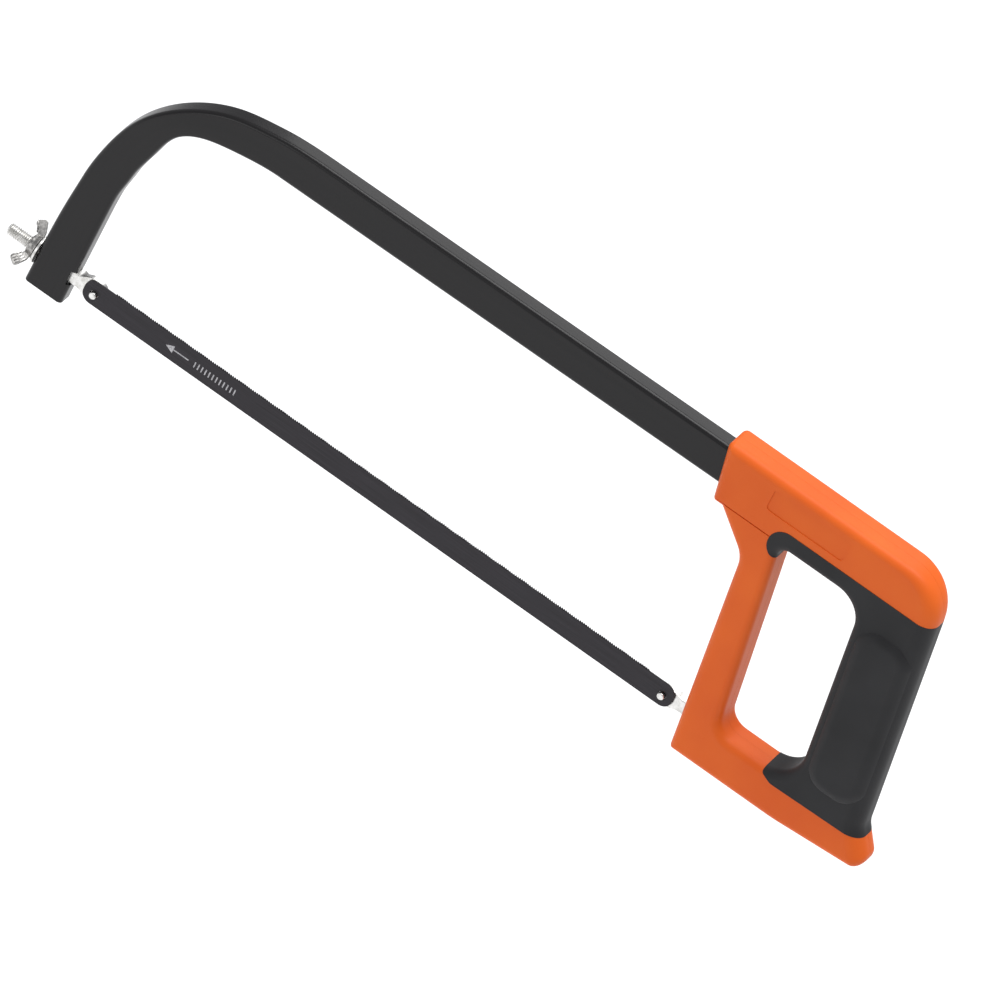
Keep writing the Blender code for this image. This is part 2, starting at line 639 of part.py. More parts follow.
def make_washer_and_nut():
    leg_face = LEG_INNER_ALONG - TUBE_DEPTH
    washer_base = leg_face - FIT_GAP
    bore = ROD_RADIUS + FIT_GAP
    ring = [(bore, WASHER_THICKNESS), (WASHER_RADIUS, WASHER_THICKNESS), (WASHER_RADIUS, 0),
            (bore, 0)]
    outward = (0, -math.pi / 2, 0)
    turned("washer", ring, place(washer_base, SHANK_AXIS_UP), outward, zinc, closed=True)

    nut_base = washer_base - WASHER_THICKNESS - FIT_GAP
    at_base = place(nut_base, SHANK_AXIS_UP)
    hub = [(bore, NUT_HEIGHT), (4.4, NUT_HEIGHT), (4.8, NUT_HEIGHT - 0.5), (5.5, 0.4), (5.3, 0),
           (bore, 0)]
    nut = turned("wing_nut", hub, at_base, outward, zinc, closed=True)
    # A wing leans outwards from the leg as it leaves the hub; its outline is (out, height).
    wing = [(3.8, 0.6, 0), (7.0, 1.2, 3), (12.9, 4.4, 1.4), (9.2, 9.0, 1.4), (6.0, 4.6, 2),
            (3.8, 3.6, 0)]
    for label, turn in (("upper", 0.0), ("lower", math.pi)):
        blade = plate("wing_" + label, [rounded(wing)], -WING_THICKNESS / 2, WING_THICKNESS / 2)
        # From the drawing plane: out goes to +Z, height to -X, then the turn about the rod.
        stand = Matrix(((0, 0, -1), (0, 1, 0), (1, 0, 0))).to_4x4()
        lay = Matrix.Rotation(turn - WING_TURN, 4, "X")
        blade.matrix_world = (Matrix.Translation(at_base) @ lay @ stand
                              @ Matrix.Rotation(math.pi / 2, 4, "X"))
        boolean(nut, blade, "UNION")
    ride_on("wing_nut_axis", at_base, [nut])


clear_scene()
saw = new_collection("hacksaw")
cutters = new_collection("cutters")
black_paint = make_material("black_paint", (0.018, 0.018, 0.019), 0.42)
orange_plastic = make_material("orange_plastic", (0.62, 0.125, 0.025), 0.45)
soft_rubber = make_material("soft_rubber", (0.02, 0.02, 0.021), 0.75)
zinc = make_material("zinc", (0.72, 0.73, 0.74), 0.32, 1.0)
steel = make_material("steel", (0.45, 0.45, 0.46), 0.45, 1.0)
blade_steel = make_material("blade_steel", (0.022, 0.021, 0.023), 0.5, 0.3)

make_frame_tube()
make_tension_strap()
make_shell("left", -1)
make_shell("right", 1)
make_grip("left", -1)
make_grip("right", 1)
make_screws()
make_front_holder()
make_rear_holder()
make_blade()
make_washer_and_nut()
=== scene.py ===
import math

import bmesh
import bpy
from mathutils import Matrix, Vector


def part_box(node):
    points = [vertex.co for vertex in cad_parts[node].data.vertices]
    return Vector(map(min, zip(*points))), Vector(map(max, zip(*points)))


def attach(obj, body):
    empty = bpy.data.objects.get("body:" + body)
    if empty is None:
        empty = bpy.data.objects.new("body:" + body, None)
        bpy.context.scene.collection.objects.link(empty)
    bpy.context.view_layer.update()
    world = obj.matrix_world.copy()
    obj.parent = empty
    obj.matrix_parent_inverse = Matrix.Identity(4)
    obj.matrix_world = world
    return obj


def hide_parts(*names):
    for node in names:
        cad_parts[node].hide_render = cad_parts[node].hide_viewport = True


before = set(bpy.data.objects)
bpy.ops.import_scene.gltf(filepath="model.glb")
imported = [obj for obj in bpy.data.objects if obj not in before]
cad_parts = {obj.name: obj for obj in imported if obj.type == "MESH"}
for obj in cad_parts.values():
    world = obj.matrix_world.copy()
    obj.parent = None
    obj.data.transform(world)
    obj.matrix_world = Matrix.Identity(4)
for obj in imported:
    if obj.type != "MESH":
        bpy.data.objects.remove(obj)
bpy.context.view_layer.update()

# ---------------------------------------------------------------------------------------
# Stage: the saw is shown as if held up in a white studio, its near side, top and rear
# edges in sight. A pale floor lies well below it. A large softbox hangs overhead, with a
# smaller one in front and another behind.
MM = 0.001
pin_low, pin_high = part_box("front_blade_pin")
pin_along = (pin_low[0] + pin_high[0]) / 2 / MM
pin_up = (pin_low[2] + pin_high[2]) / 2 / MM


def at(along, up, across=0.0):
    """World position of a point given in millimetres behind and above the front blade pin."""
    return Vector((pin_along + along, across, pin_up + up)) * MM


def linear(code):
    """Linear colour of an sRGB hex code."""
    parts = [int(code[i:i + 2], 16) / 255 for i in (1, 3, 5)]
    return (*[p / 12.92 if p <= 0.04045 else ((p + 0.055) / 1.055) ** 2.4 for p in parts], 1.0)


def add_node(tree, kind, inputs=None, **settings):
    """Add a node; inputs maps a socket to a value or to the output that feeds it."""
    made = tree.nodes.new(kind)
    for name, value in settings.items():
        setattr(made, name, value)
    for socket, value in (inputs or {}).items():
        if isinstance(value, bpy.types.NodeSocket):
            tree.links.new(value, made.inputs[socket])
        else:
            made.inputs[socket].default_value = value
    return made


def start_material(name, **sockets):
    """A new material whose Principled shader has these constants on its own sockets."""
    material = bpy.data.materials.new(name)
    material.use_nodes = True
    shader = material.node_tree.nodes["Principled BSDF"]
    for socket, value in sockets.items():
        shader.inputs[socket.replace("_", " ")].default_value = value
    return material, material.node_tree, shader


# The camera's axes: where its right, its back and its top point.
RIGHT = Vector((0.8057, 0.4606, 0.3725)).normalized()
BACK = RIGHT.cross(Vector((-0.5676, 0.4211, 0.7075))).normalized()
TOP = BACK.cross(RIGHT)
VIEW_WIDTH = 424.5
DISTANCE = 16000.0

camera_data = bpy.data.cameras.new("camera")
camera_data.sensor_width = 36
camera_data.lens = 36 * DISTANCE / VIEW_WIDTH
camera_data.clip_end = 60
camera = bpy.data.objects.new("camera", camera_data)
aim = at(198.3, 35.4, -3.0)
camera.matrix_world = Matrix.Translation(aim + BACK * DISTANCE * MM) @ Matrix(
    (RIGHT, TOP, BACK)).transposed().to_4x4()
bpy.context.scene.collection.objects.link(camera)
bpy.context.scene.camera = camera

studio = bpy.data.worlds.new("studio")
studio.use_nodes = True
studio.node_tree.nodes["Background"].inputs["Color"].default_value = linear("#FBFCFF")
studio.node_tree.nodes["Background"].inputs["Strength"].default_value = 0.50
bpy.context.scene.world = studio
bpy.context.scene.view_settings.view_transform = "Standard"

SOFTBOXES = [
    # name, place, aimed at, size, watts
    ("overhead_softbox", (0.25, 0.25, 4.00), (0.0, 0.0, 0.05), 3.0, 165.0),
    ("front_softbox", (-0.9, -1.5, 0.45), (0.0, 0.0, 0.06), 0.9, 4.0),
    ("rear_softbox", (-0.3, 1.7, 1.35), (0.0, 0.0, 0.08), 1.1, 7.0),
]
for name, place, target, size, watts in SOFTBOXES:
    softbox = bpy.data.lights.new(name, "AREA")
    softbox.size = size
    softbox.energy = watts
    lamp = bpy.data.objects.new(name, softbox)
    lamp.location = place
    lamp.visible_camera = False
    lamp.rotation_euler = (Vector(place) - Vector(target)).to_track_quat("Z", "Y").to_euler()
    bpy.context.scene.collection.objects.link(lamp)

paper, tree, shader = start_material("white_paper_floor", Roughness=0.9)
shader.inputs["Specular IOR Level"].default_value = 0.1
shader.inputs["Base Color"].default_value = linear("#F7F7F7")
FLOOR_HALF = 6.0
FLOOR_UP = -0.45
floor_mesh = bpy.data.meshes.new("floor")
floor_mesh.from_pydata([(x * FLOOR_HALF, y * FLOOR_HALF, FLOOR_UP)
                        for x, y in ((-1, -1), (1, -1), (1, 1), (-1, 1))], [], [(0, 1, 2, 3)])
floor_mesh.materials.append(paper)
floor = bpy.data.objects.new("floor", floor_mesh)
bpy.context.scene.collection.objects.link(floor)

# ---------------------------------------------------------------------------------------
# Frame tube: rectangular steel tube, bent cold in one plane. Its inner wall buckles into
# the bend and its sides swell there. It is coated in black stove enamel.
TUBE_DEPTH = 19.2
TUBE_WIDTH = 10.0
TUBE_WALL = 1.2
TUBE_CORNER = 2.2
TUBE_UNDERSIDE_UP = 108.9
TUBE_RISE = 0.0086
TUBE_END_ALONG = 371.9
LEG_INNER_ALONG = -10.8
LEG_FOOT_UP = -13.3
BEND_INNER_RADIUS = 60.0
BEND_RADIUS = BEND_INNER_RADIUS + TUBE_DEPTH / 2
BEND_BUCKLE = 6.7
BEND_BULGE = 0.13
SHANK_AXIS_UP = 0.8
SHANK_HALF = 3.2
SLOT_HALF = 3.7
FIXING_HOLE_RADIUS = 1.9
ROD_RADIUS = 3.0


def swell_at(turn, middle, before, after):
    """A smooth rise to 1 where the tube has turned by a middle angle, all in degrees."""
    return math.exp(-((turn - middle) / (before if turn < middle else after)) ** 2)


def tube_section(depth, width, corner, turn):
    """Points (outwards from the bend, across) round the tube, anticlockwise."""
    turn = math.degrees(turn)
    drawn_in = 2.4 * swell_at(turn, 11, 23, 18) + 1.2 * swell_at(turn, 80, 11, 11)
    buckled = BEND_BUCKLE * swell_at(turn, 46.5, 14.5, 19) - 0.8 * swell_at(turn, 10, 9, 7)
    bulge = BEND_BULGE * swell_at(turn, 46, 22, 26)
    flat = depth / 2 - corner
    plain = []
    for index, (side_n, side_y) in enumerate(((1, 1), (-1, 1), (-1, -1), (1, -1))):
        for k in range(9):
            angle = math.pi / 2 * (index + k / 8)
            plain.append((side_n * flat + corner * math.cos(angle),
                          side_y * (width / 2 - corner) + corner * math.sin(angle)))
        if index in (0, 2):
            plain += [(side_n * flat * (1 - k / 5), side_y * width / 2) for k in range(1, 10)]
    section = []
    for n, y in plain:
        reach = (n + depth / 2) / depth
        y *= 1 + bulge * math.sin(math.pi * (0.15 + 0.7 * reach)) * (1.2 - reach * 0.6)
        section.append((n - drawn_in * reach + buckled * (1 - reach), y))
    return section


def tube_place(turn, n, y):
    """World place of a section's point where the tube has turned by an angle."""
    angle = math.pi - min(max(turn, 0), math.pi / 2)
    run = BEND_RADIUS * max(turn - math.pi / 2, 0)
    along = LEG_INNER_ALONG + BEND_INNER_RADIUS + BEND_RADIUS * math.cos(angle) + run
    up = TUBE_UNDERSIDE_UP - BEND_INNER_RADIUS + BEND_RADIUS * math.sin(angle)
    up += run * TUBE_RISE + BEND_RADIUS * min(turn, 0)
    return at(along + n * math.cos(angle), up + n * math.sin(angle), y)


def make_piece(name, work, material):
    """An object at the origin from a finished bmesh."""
    bmesh.ops.recalc_face_normals(work, faces=work.faces)
    mesh = bpy.data.meshes.new(name)
    work.to_mesh(mesh)
    work.free()
    mesh.materials.append(material)
    piece = bpy.data.objects.new(name, mesh)
    bpy.context.scene.collection.objects.link(piece)
    return piece


def settle(piece):
    """Turn a piece's modifiers into its plain mesh."""
    seen = piece.evaluated_get(bpy.context.evaluated_depsgraph_get())
    mesh = bpy.data.meshes.new_from_object(seen)
    piece.modifiers.clear()
    piece.data = mesh


def carve(piece, cutter, operation="DIFFERENCE"):
    """Cut one piece with another, or join it on, and throw the other away."""
    tool = piece.modifiers.new("carve", "BOOLEAN")
    tool.object = cutter
    tool.operation = operation
    settle(piece)
    bpy.data.objects.remove(cutter)


def shade(piece, sharp_over=32):
    """Shade smooth, crisp over sharp edges, with flat faces kept truly flat."""
    piece.data.shade_smooth()
    piece.data.set_sharp_from_angle(angle=math.radians(sharp_over))
    flats = piece.modifiers.new("flats", "WEIGHTED_NORMAL")
    flats.keep_sharp = True
    settle(piece)


def block(name, low, high, material):
    """A box between two corners given as (along, across, up)."""
    work = bmesh.new()
    bmesh.ops.create_cube(work, size=1.0)
    for vert in work.verts:
        along, across, up = [(a + b) / 2 + (b - a) * c
                             for a, b, c in zip(low, high, vert.co)]
        vert.co = at(along, up, across)
    return make_piece(name, work, material)


def rods(name, bars, material, segments=32):
    """Separate cylinders in one object, each (start, end, radius) in the saw's places."""
    work = bmesh.new()
    for start, end, radius in bars:
        start = at(*start)
        end = at(*end)
        turn = (end - start).to_track_quat("Z", "Y").to_matrix().to_4x4()
        bmesh.ops.create_cone(
            work, cap_ends=True, segments=segments, radius1=radius * MM, radius2=radius * MM,
            depth=(end - start).length, matrix=Matrix.Translation((start + end) / 2) @ turn)
    return make_piece(name, work, material)


# Stove enamel: a thin baked paint, smooth but for a faint orange peel, over the fine
# lines that drawing leaves along the tube. It gives soft, long highlights.
enamel, tree, shader = start_material(
    "black_stove_enamel", Roughness=0.27, IOR=1.5, Specular_IOR_Level=0.3)
run_map = add_node(tree, "ShaderNodeUVMap", uv_map="run")
stretch = add_node(tree, "ShaderNodeMapping", {"Vector": run_map.outputs["UV"],
                                               "Scale": (0.006, 0.9, 1.0)})
drawing = add_node(tree, "ShaderNodeTexNoise", {"Vector": stretch.outputs["Vector"],
                                                "Scale": 1.0, "Detail": 3.0})
solid = add_node(tree, "ShaderNodeTexCoord")
peel = add_node(tree, "ShaderNodeTexNoise", {"Vector": solid.outputs["Object"],
                                             "Scale": 1 / (1.4 * MM), "Detail": 2.0})
tone = add_node(tree, "ShaderNodeValToRGB", {"Fac": drawing.outputs["Fac"]})
tone.color_ramp.elements[0].color = linear("#0B0B0D")
tone.color_ramp.elements[1].color = linear("#1D1B1C")
tree.links.new(tone.outputs["Color"], shader.inputs["Base Color"])
relief = add_node(tree, "ShaderNodeMath", {0: drawing.outputs["Fac"], 1: peel.outputs["Fac"]},
                  operation="ADD")
bump = add_node(tree, "ShaderNodeBump", {"Height": relief.outputs[0], "Strength": 0.25,
                                         "Distance": 0.00012})
tree.links.new(bump.outputs["Normal"], shader.inputs["Normal"])

foot_turn = (LEG_FOOT_UP - TUBE_UNDERSIDE_UP + BEND_INNER_RADIUS) / BEND_RADIUS
rear_turn = math.pi / 2 + (TUBE_END_ALONG - LEG_INNER_ALONG - BEND_INNER_RADIUS) / BEND_RADIUS
turns = [foot_turn, -0.62] + [math.radians(k * 1.5) for k in range(-20, 82)] + [rear_turn]
work = bmesh.new()
run_layer = work.loops.layers.uv.new("run")
skins = []
for inset in (0.0, TUBE_WALL):
    rings = []
    for turn in turns:
        section = tube_section(TUBE_DEPTH - 2 * inset, TUBE_WIDTH - 2 * inset,
                               TUBE_CORNER - inset, turn)
        rings.append([work.verts.new(tube_place(turn, n, y)) for n, y in section])
    skins.append(rings)
    around = [0.0]
    for k in range(len(section)):
        step = Vector(section[k]) - Vector(section[k - 1])
        around.append(around[-1] + step.length)
    for ring, following, turn, turn_on in zip(rings, rings[1:], turns, turns[1:]):
        for k in range(len(ring)):
            face = work.faces.new((ring[k - 1], ring[k], following[k], following[k - 1]))
            corners = ((turn, k), (turn, k + 1), (turn_on, k + 1), (turn_on, k))
            for loop, (at_turn, index) in zip(face.loops, corners):
                loop[run_layer].uv = (at_turn * BEND_RADIUS, around[index])
for end in (0, -1):
    outer = skins[0][end]
    inner = skins[1][end]
    for k in range(len(outer)):
        work.faces.new((outer[k - 1], outer[k], inner[k], inner[k - 1]))
tube = make_piece("tube", work, enamel)
carve(tube, block("leg_slot", (LEG_INNER_ALONG - 2.0, -7, SHANK_AXIS_UP - SLOT_HALF),
                  (LEG_INNER_ALONG + 3, 7, SHANK_AXIS_UP + SLOT_HALF), enamel))
leg_face = LEG_INNER_ALONG - TUBE_DEPTH
carve(tube, rods("rod_hole", [((leg_face - 3, SHANK_AXIS_UP), (leg_face + 3, SHANK_AXIS_UP),
                               ROD_RADIUS + 0.4)], enamel))
carve(tube, rods("tube_screw_holes", [((along, 119.8, -9), (along, 119.8, 9),
                                   FIXING_HOLE_RADIUS)
                                      for along in (292, 356)], enamel))
carve(tube, rods("rivet_holes", [((along, 107), (along, 114), FIXING_HOLE_RADIUS)
                                 for along in (293, 301)], enamel))
shade(tube)
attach(tube, "frame")
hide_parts("frame_tube")

# ---------------------------------------------------------------------------------------
# Washer: a plain steel ring, stamped and zinc plated, between the nut and the leg.
# Bright zinc: a thin electroplated coat, pale silver with a trace of warmth. It lies
# over a drawn or stamped surface, so its gloss is broken by fine cloudy patches.
zinc, tree, shader = start_material("bright_zinc_plate", Metallic=1.0)
solid = add_node(tree, "ShaderNodeTexCoord")
cloud = add_node(tree, "ShaderNodeTexNoise", {"Vector": solid.outputs["Object"],
                                              "Scale": 1 / (1.8 * MM), "Detail": 4.0})
grain = add_node(tree, "ShaderNodeTexNoise", {"Vector": solid.outputs["Object"],
                                              "Scale": 1 / (0.35 * MM), "Detail": 2.0})
tint = add_node(tree, "ShaderNodeValToRGB", {"Fac": cloud.outputs["Fac"]})
tint.color_ramp.elements[0].color = linear("#C9C8C4")
tint.color_ramp.elements[0].position = 0.35
tint.color_ramp.elements[1].color = linear("#E9E8E6")
tint.color_ramp.elements[1].position = 0.62
tree.links.new(tint.outputs["Color"], shader.inputs["Base Color"])
gloss = add_node(tree, "ShaderNodeMapRange", {"Value": cloud.outputs["Fac"], "From Min": 0.3,
                                              "From Max": 0.7, "To Min": 0.24, "To Max": 0.40})
tree.links.new(gloss.outputs["Result"], shader.inputs["Roughness"])
bump = add_node(tree, "ShaderNodeBump", {"Height": grain.outputs["Fac"], "Strength": 0.15,
                                         "Distance": 0.00005})
tree.links.new(bump.outputs["Normal"], shader.inputs["Normal"])

WASHER_RADIUS = 6.5
WASHER_THICKNESS = 1.2
washer_base = leg_face - 0.3


def turned(name, profile, base, lead, material, segments=64, closed=False):
    """A round piece about a line from a base; its profile is (radius, distance) in mm."""
    lead = Vector(lead)
    side = lead.orthogonal().normalized()
    other = lead.cross(side)
    work = bmesh.new()
    rings = []
    for radius, distance in profile:
        middle = base + lead * distance * MM
        if radius == 0:
            rings.append([work.verts.new(middle)])
            continue
        rings.append([
            work.verts.new(middle + (side * math.cos(a) + other * math.sin(a)) * radius * MM)
            for a in (2 * math.pi * k / segments for k in range(segments))])
    pairs = list(zip(rings, rings[1:] + rings[:1] if closed else rings[1:]))
    for ring, following in pairs:
        for k in range(segments):
            if len(ring) == 1:
                work.faces.new((ring[0], following[k], following[k - 1]))
            elif len(following) == 1:
                work.faces.new((ring[k - 1], ring[k], following[0]))
            else:
                work.faces.new((ring[k - 1], ring[k], following[k], following[k - 1]))
    return make_piece(name, work, material)


bore = ROD_RADIUS + 0.3
washer = turned("stamped_washer",
                [(bore, 0.15), (bore + 0.15, 0), (WASHER_RADIUS - 0.1, 0), (WASHER_RADIUS, 0.1),
                 (WASHER_RADIUS, WASHER_THICKNESS - 0.35),
                 (WASHER_RADIUS - 0.1, WASHER_THICKNESS - 0.13),
                 (WASHER_RADIUS - 0.35, WASHER_THICKNESS), (bore + 0.15, WASHER_THICKNESS),
                 (bore, WASHER_THICKNESS - 0.15)],
                at(washer_base, SHANK_AXIS_UP), (-1, 0, 0), zinc, closed=True)
shade(washer)
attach(washer, "frame")
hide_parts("washer")

# ---------------------------------------------------------------------------------------
# Wing nut: cast in zinc alloy, a low round hub with two flared wings. Ribs run out along
# both faces of each wing so that wet fingers can turn it.
# Cast zinc alloy: greyer than the plate, with the soft sheen and faint mottle of a die
# casting that was only tumbled.
cast_zinc, tree, shader = start_material("tumbled_cast_zinc_alloy", Metallic=1.0)
solid = add_node(tree, "ShaderNodeTexCoord")
mottle = add_node(tree, "ShaderNodeTexNoise", {"Vector": solid.outputs["Object"],
                                               "Scale": 1 / (1.2 * MM), "Detail": 4.0})
grey = add_node(tree, "ShaderNodeValToRGB", {"Fac": mottle.outputs["Fac"]})
grey.color_ramp.elements[0].color = linear("#8A8987")
grey.color_ramp.elements[0].position = 0.35
grey.color_ramp.elements[1].color = linear("#B8B6B3")
grey.color_ramp.elements[1].position = 0.65
tree.links.new(grey.outputs["Color"], shader.inputs["Base Color"])
tumbled = add_node(tree, "ShaderNodeMapRange", {"Value": mottle.outputs["Fac"], "To Min": 0.22,
                                                "To Max": 0.42})
tree.links.new(tumbled.outputs["Result"], shader.inputs["Roughness"])
bump = add_node(tree, "ShaderNodeBump", {"Height": mottle.outputs["Fac"], "Strength": 0.2,
                                         "Distance": 0.00006})
tree.links.new(bump.outputs["Normal"], shader.inputs["Normal"])

NUT_HEIGHT = 3.8
WING_TURN = math.radians(53)
WING_THICKNESS = 2.0
RIB_RADIUS = 0.32
RIBS = 4
nut_base = washer_base - WASHER_THICKNESS - 0.3


def row_tree():
    """Geometry Nodes: copies of one object in a straight row, each nudged by a wave."""
    tree = bpy.data.node_groups.new("row_of_copies", "GeometryNodeTree")
    sockets = [("Geometry", "Geometry"), ("Item", "Object"), ("Count", "Int"),
               ("Start", "Vector"), ("Step", "Vector"), ("Wave", "Vector"),
               ("Copies In Wave", "Float"), ("Material", "Material")]
    for name, kind in sockets:
        tree.interface.new_socket(name, in_out="INPUT", socket_type="NodeSocket" + kind)
    tree.interface.new_socket("Geometry", in_out="OUTPUT", socket_type="NodeSocketGeometry")
    given = add_node(tree, "NodeGroupInput").outputs
    item = add_node(tree, "GeometryNodeObjectInfo", {"Object": given["Item"]})
    line = add_node(tree, "GeometryNodeMeshLine",
                    {"Count": given["Count"], "Start Location": given["Start"],
                     "Offset": given["Step"]}, mode="OFFSET")
    index = add_node(tree, "GeometryNodeInputIndex")
    circle = add_node(tree, "ShaderNodeMath", {0: 2 * math.pi, 1: given["Copies In Wave"]},
                      operation="DIVIDE")
    phase = add_node(tree, "ShaderNodeMath", {0: index.outputs[0], 1: circle.outputs[0]},
                     operation="MULTIPLY")
    swing = add_node(tree, "ShaderNodeMath", {0: phase.outputs[0]}, operation="SINE")
    nudge = add_node(tree, "ShaderNodeVectorMath", {0: given["Wave"], "Scale": swing.outputs[0]},
                     operation="SCALE")
    waved = add_node(tree, "GeometryNodeSetPosition", {"Geometry": line.outputs["Mesh"],
                                                       "Offset": nudge.outputs["Vector"]})
    copies = add_node(tree, "GeometryNodeInstanceOnPoints",
                      {"Points": waved.outputs["Geometry"],
                       "Instance": item.outputs["Geometry"]})
    real = add_node(tree, "GeometryNodeRealizeInstances",
                    {"Geometry": copies.outputs["Instances"]})
    whole = add_node(tree, "GeometryNodeJoinGeometry", {"Geometry": given["Geometry"]})
    tree.links.new(real.outputs["Geometry"], whole.inputs["Geometry"])
    painted = add_node(tree, "GeometryNodeSetMaterial", {"Geometry": whole.outputs["Geometry"],
                                                         "Material": given["Material"]})
    add_node(tree, "NodeGroupOutput", {"Geometry": painted.outputs["Geometry"]})
    return tree


row_of_copies = row_tree()


def add_row(piece, item, count, start, step, material, wave=(0, 0, 0), copies_in_wave=1.0):
    """Join a row of copies of an item to a piece, and throw the item away."""
    row = piece.modifiers.new("row", "NODES")
    row.node_group = row_of_copies
    values = {"Item": item, "Count": count, "Start": start, "Step": step, "Wave": wave,
              "Copies In Wave": copies_in_wave, "Material": material}
    for socket in row_of_copies.interface.items_tree:
        if socket.in_out == "INPUT" and socket.name in values:
            row[socket.identifier] = values[socket.name]
    settle(piece)
    bpy.data.objects.remove(item)


def rounded(corners, step=math.radians(6)):
    """Points of a closed outline whose corners (along, up, radius) are rounded."""
    points = []
    for i, (along, up, radius) in enumerate(corners):
        here = Vector((along, up))
        if radius == 0:
            points.append(here)
            continue
        back = (Vector(corners[i - 1][:2]) - here).normalized()
        onward = (Vector(corners[(i + 1) % len(corners)][:2]) - here).normalized()
        half = back.angle(onward) / 2
        centre = here + (back + onward).normalized() * radius / math.sin(half)
        arm = here + back * radius / math.tan(half) - centre
        turn = math.pi - 2 * half
        sense = 1 if back.x * onward.y < back.y * onward.x else -1
        steps = max(1, math.ceil(turn / step - 0.01))
        for k in range(steps + 1):
            points.append(centre + Matrix.Rotation(sense * turn * k / steps, 2) @ arm)
    return points


hub = [(bore, 0.3), (bore + 0.3, 0), (5.2, 0), (5.5, 0.25), (5.45, 0.7), (5.0, 1.5), (4.8, 2.4),
       (4.8, NUT_HEIGHT - 0.7), (4.65, NUT_HEIGHT - 0.3), (4.3, NUT_HEIGHT),
       (bore + 0.4, NUT_HEIGHT), (bore, NUT_HEIGHT - 0.4)]
nut = turned("wing_nut_hub", hub, Vector((0, 0, 0)), (0, 0, 1), cast_zinc,
             closed=True)
# A wing in its own plane: out from the rod along X, height off the leg along Z.
WING_OUTLINE = [(3.9, 0.7, 0), (7.0, 0.6, 4), (12.9, 3.6, 1.5), (9.4, 8.4, 1.6), (6.3, 4.5, 3),
                (3.9, 3.5, 0)]
for side in (1, -1):
    work = bmesh.new()
    outline = rounded(WING_OUTLINE, math.radians(12))
    layers = ((-1.0, 0.0), (-0.8, 0.3), (-0.45, 0.45), (0.45, 0.45), (0.8, 0.3), (1.0, 0.0))
    middle = sum(outline, Vector((0, 0))) / len(outline)
    rings = []
    for share, grow in layers:
        ring = []
        for point in outline:
            outwards = (point - middle).normalized() * (grow - 0.45)
            x, z = point + outwards
            flare = 0.75 + 0.45 * (x - 3.9) / 9.0
            ring.append(work.verts.new((side * x * MM,
                                        share * flare * WING_THICKNESS / 2 * MM, z * MM)))
        rings.append(ring)
    for ring, following in zip(rings, rings[1:]):
        for k in range(len(ring)):
            work.faces.new((ring[k - 1], ring[k], following[k], following[k - 1]))
    work.faces.new(rings[0])
    work.faces.new(rings[-1])
    carve(nut, make_piece("wing", work, cast_zinc), "UNION")
    for face_side in (1, -1):
        # A rib is a small ridge that leans with the wing and tapers into it near the hub.
        work = bmesh.new()
        rib_rings = []
        for reach in (0.0, 0.08, 0.5, 0.92, 1.0):
            x = 6.6 + 4.6 * reach
            z = 1.3 + 2.6 * reach
            height = RIB_RADIUS * (0.35 if reach in (0.0, 1.0) else 1.0)
            flare = 0.75 + 0.45 * (x - 3.9) / 9.0
            face_at = flare * WING_THICKNESS / 2 - 0.1
            rib_rings.append([
                work.verts.new((side * (x - 0.5 * w) * MM, face_side * (face_at + h) * MM,
                                (z + 0.85 * w) * MM))
                for w, h in ((-height, 0.0), (-height * 0.6, height), (height * 0.6, height),
                             (height, 0.0), (0.0, -0.3))])
        for ring, following in zip(rib_rings, rib_rings[1:]):
            for k in range(len(ring)):
                work.faces.new((ring[k - 1], ring[k], following[k], following[k - 1]))
        work.faces.new(rib_rings[0])
        work.faces.new(rib_rings[-1])
        rib = make_piece("rib", work, cast_zinc)
        step = Vector((-side * 0.55, 0, 1.15)) * MM
        add_row(nut, rib, RIBS, (side * 0.55 * MM, 0, -0.2 * MM), step, cast_zinc)
# Stand the nut on the rod: its height points away from the leg, its wings lean as set.
stand = Matrix(((0, 0, -1), (0, 1, 0), (1, 0, 0))).to_4x4()
nut.data.transform(Matrix.Translation(at(nut_base, SHANK_AXIS_UP))
                   @ Matrix.Rotation(-WING_TURN, 4, "X") @ stand)
shade(nut, 40)
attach(nut, "nut")
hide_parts("wing_nut")

# ---------------------------------------------------------------------------------------
# Front holder: forged in one piece, a square shank that slides in the leg, a flat tongue
# for the blade, and an M6 rod with rolled thread. Its pin is pressed in and riveted over.
ROD_TIP_ALONG = -47.0
THREAD_PITCH = 1.0
THREAD_DEPTH = 0.61
TONGUE_NEAR = -2.4
TONGUE_FAR = 0.6
PIN_NEAR = -5.0


def ease(value, start, end):
    """0 before a start, 1 past an end, and smooth between."""
    share = min(max((value - start) / (end - start), 0.0), 1.0)
    return share * share * (3 - 2 * share)


def forged(name, stations, material):
    """A loft along the saw; each station is (along, bottom, top, near, far, corner)."""
    work = bmesh.new()
    rings = []
    for along, bottom, top, near, far, corner in stations:
        ring = []
        for index, (up, across) in enumerate(((top, far), (bottom, far), (bottom, near),
                                              (top, near))):
            sense_up = -1 if up == top else 1
            sense_across = -1 if across == far else 1
            for k in range(5):
                angle = math.pi / 2 * k / 4
                if index % 2 == 0:
                    angle = math.pi / 2 - angle
                ring.append(work.verts.new(at(
                    along, up + sense_up * corner * (1 - math.sin(angle)),
                    across + sense_across * corner * (1 - math.cos(angle)))))
        rings.append(ring)
    for ring, following in zip(rings, rings[1:]):
        for k in range(len(ring)):
            work.faces.new((ring[k - 1], ring[k], following[k], following[k - 1]))
    work.faces.new(rings[0])
    work.faces.new(rings[-1])
    return make_piece(name, work, material)


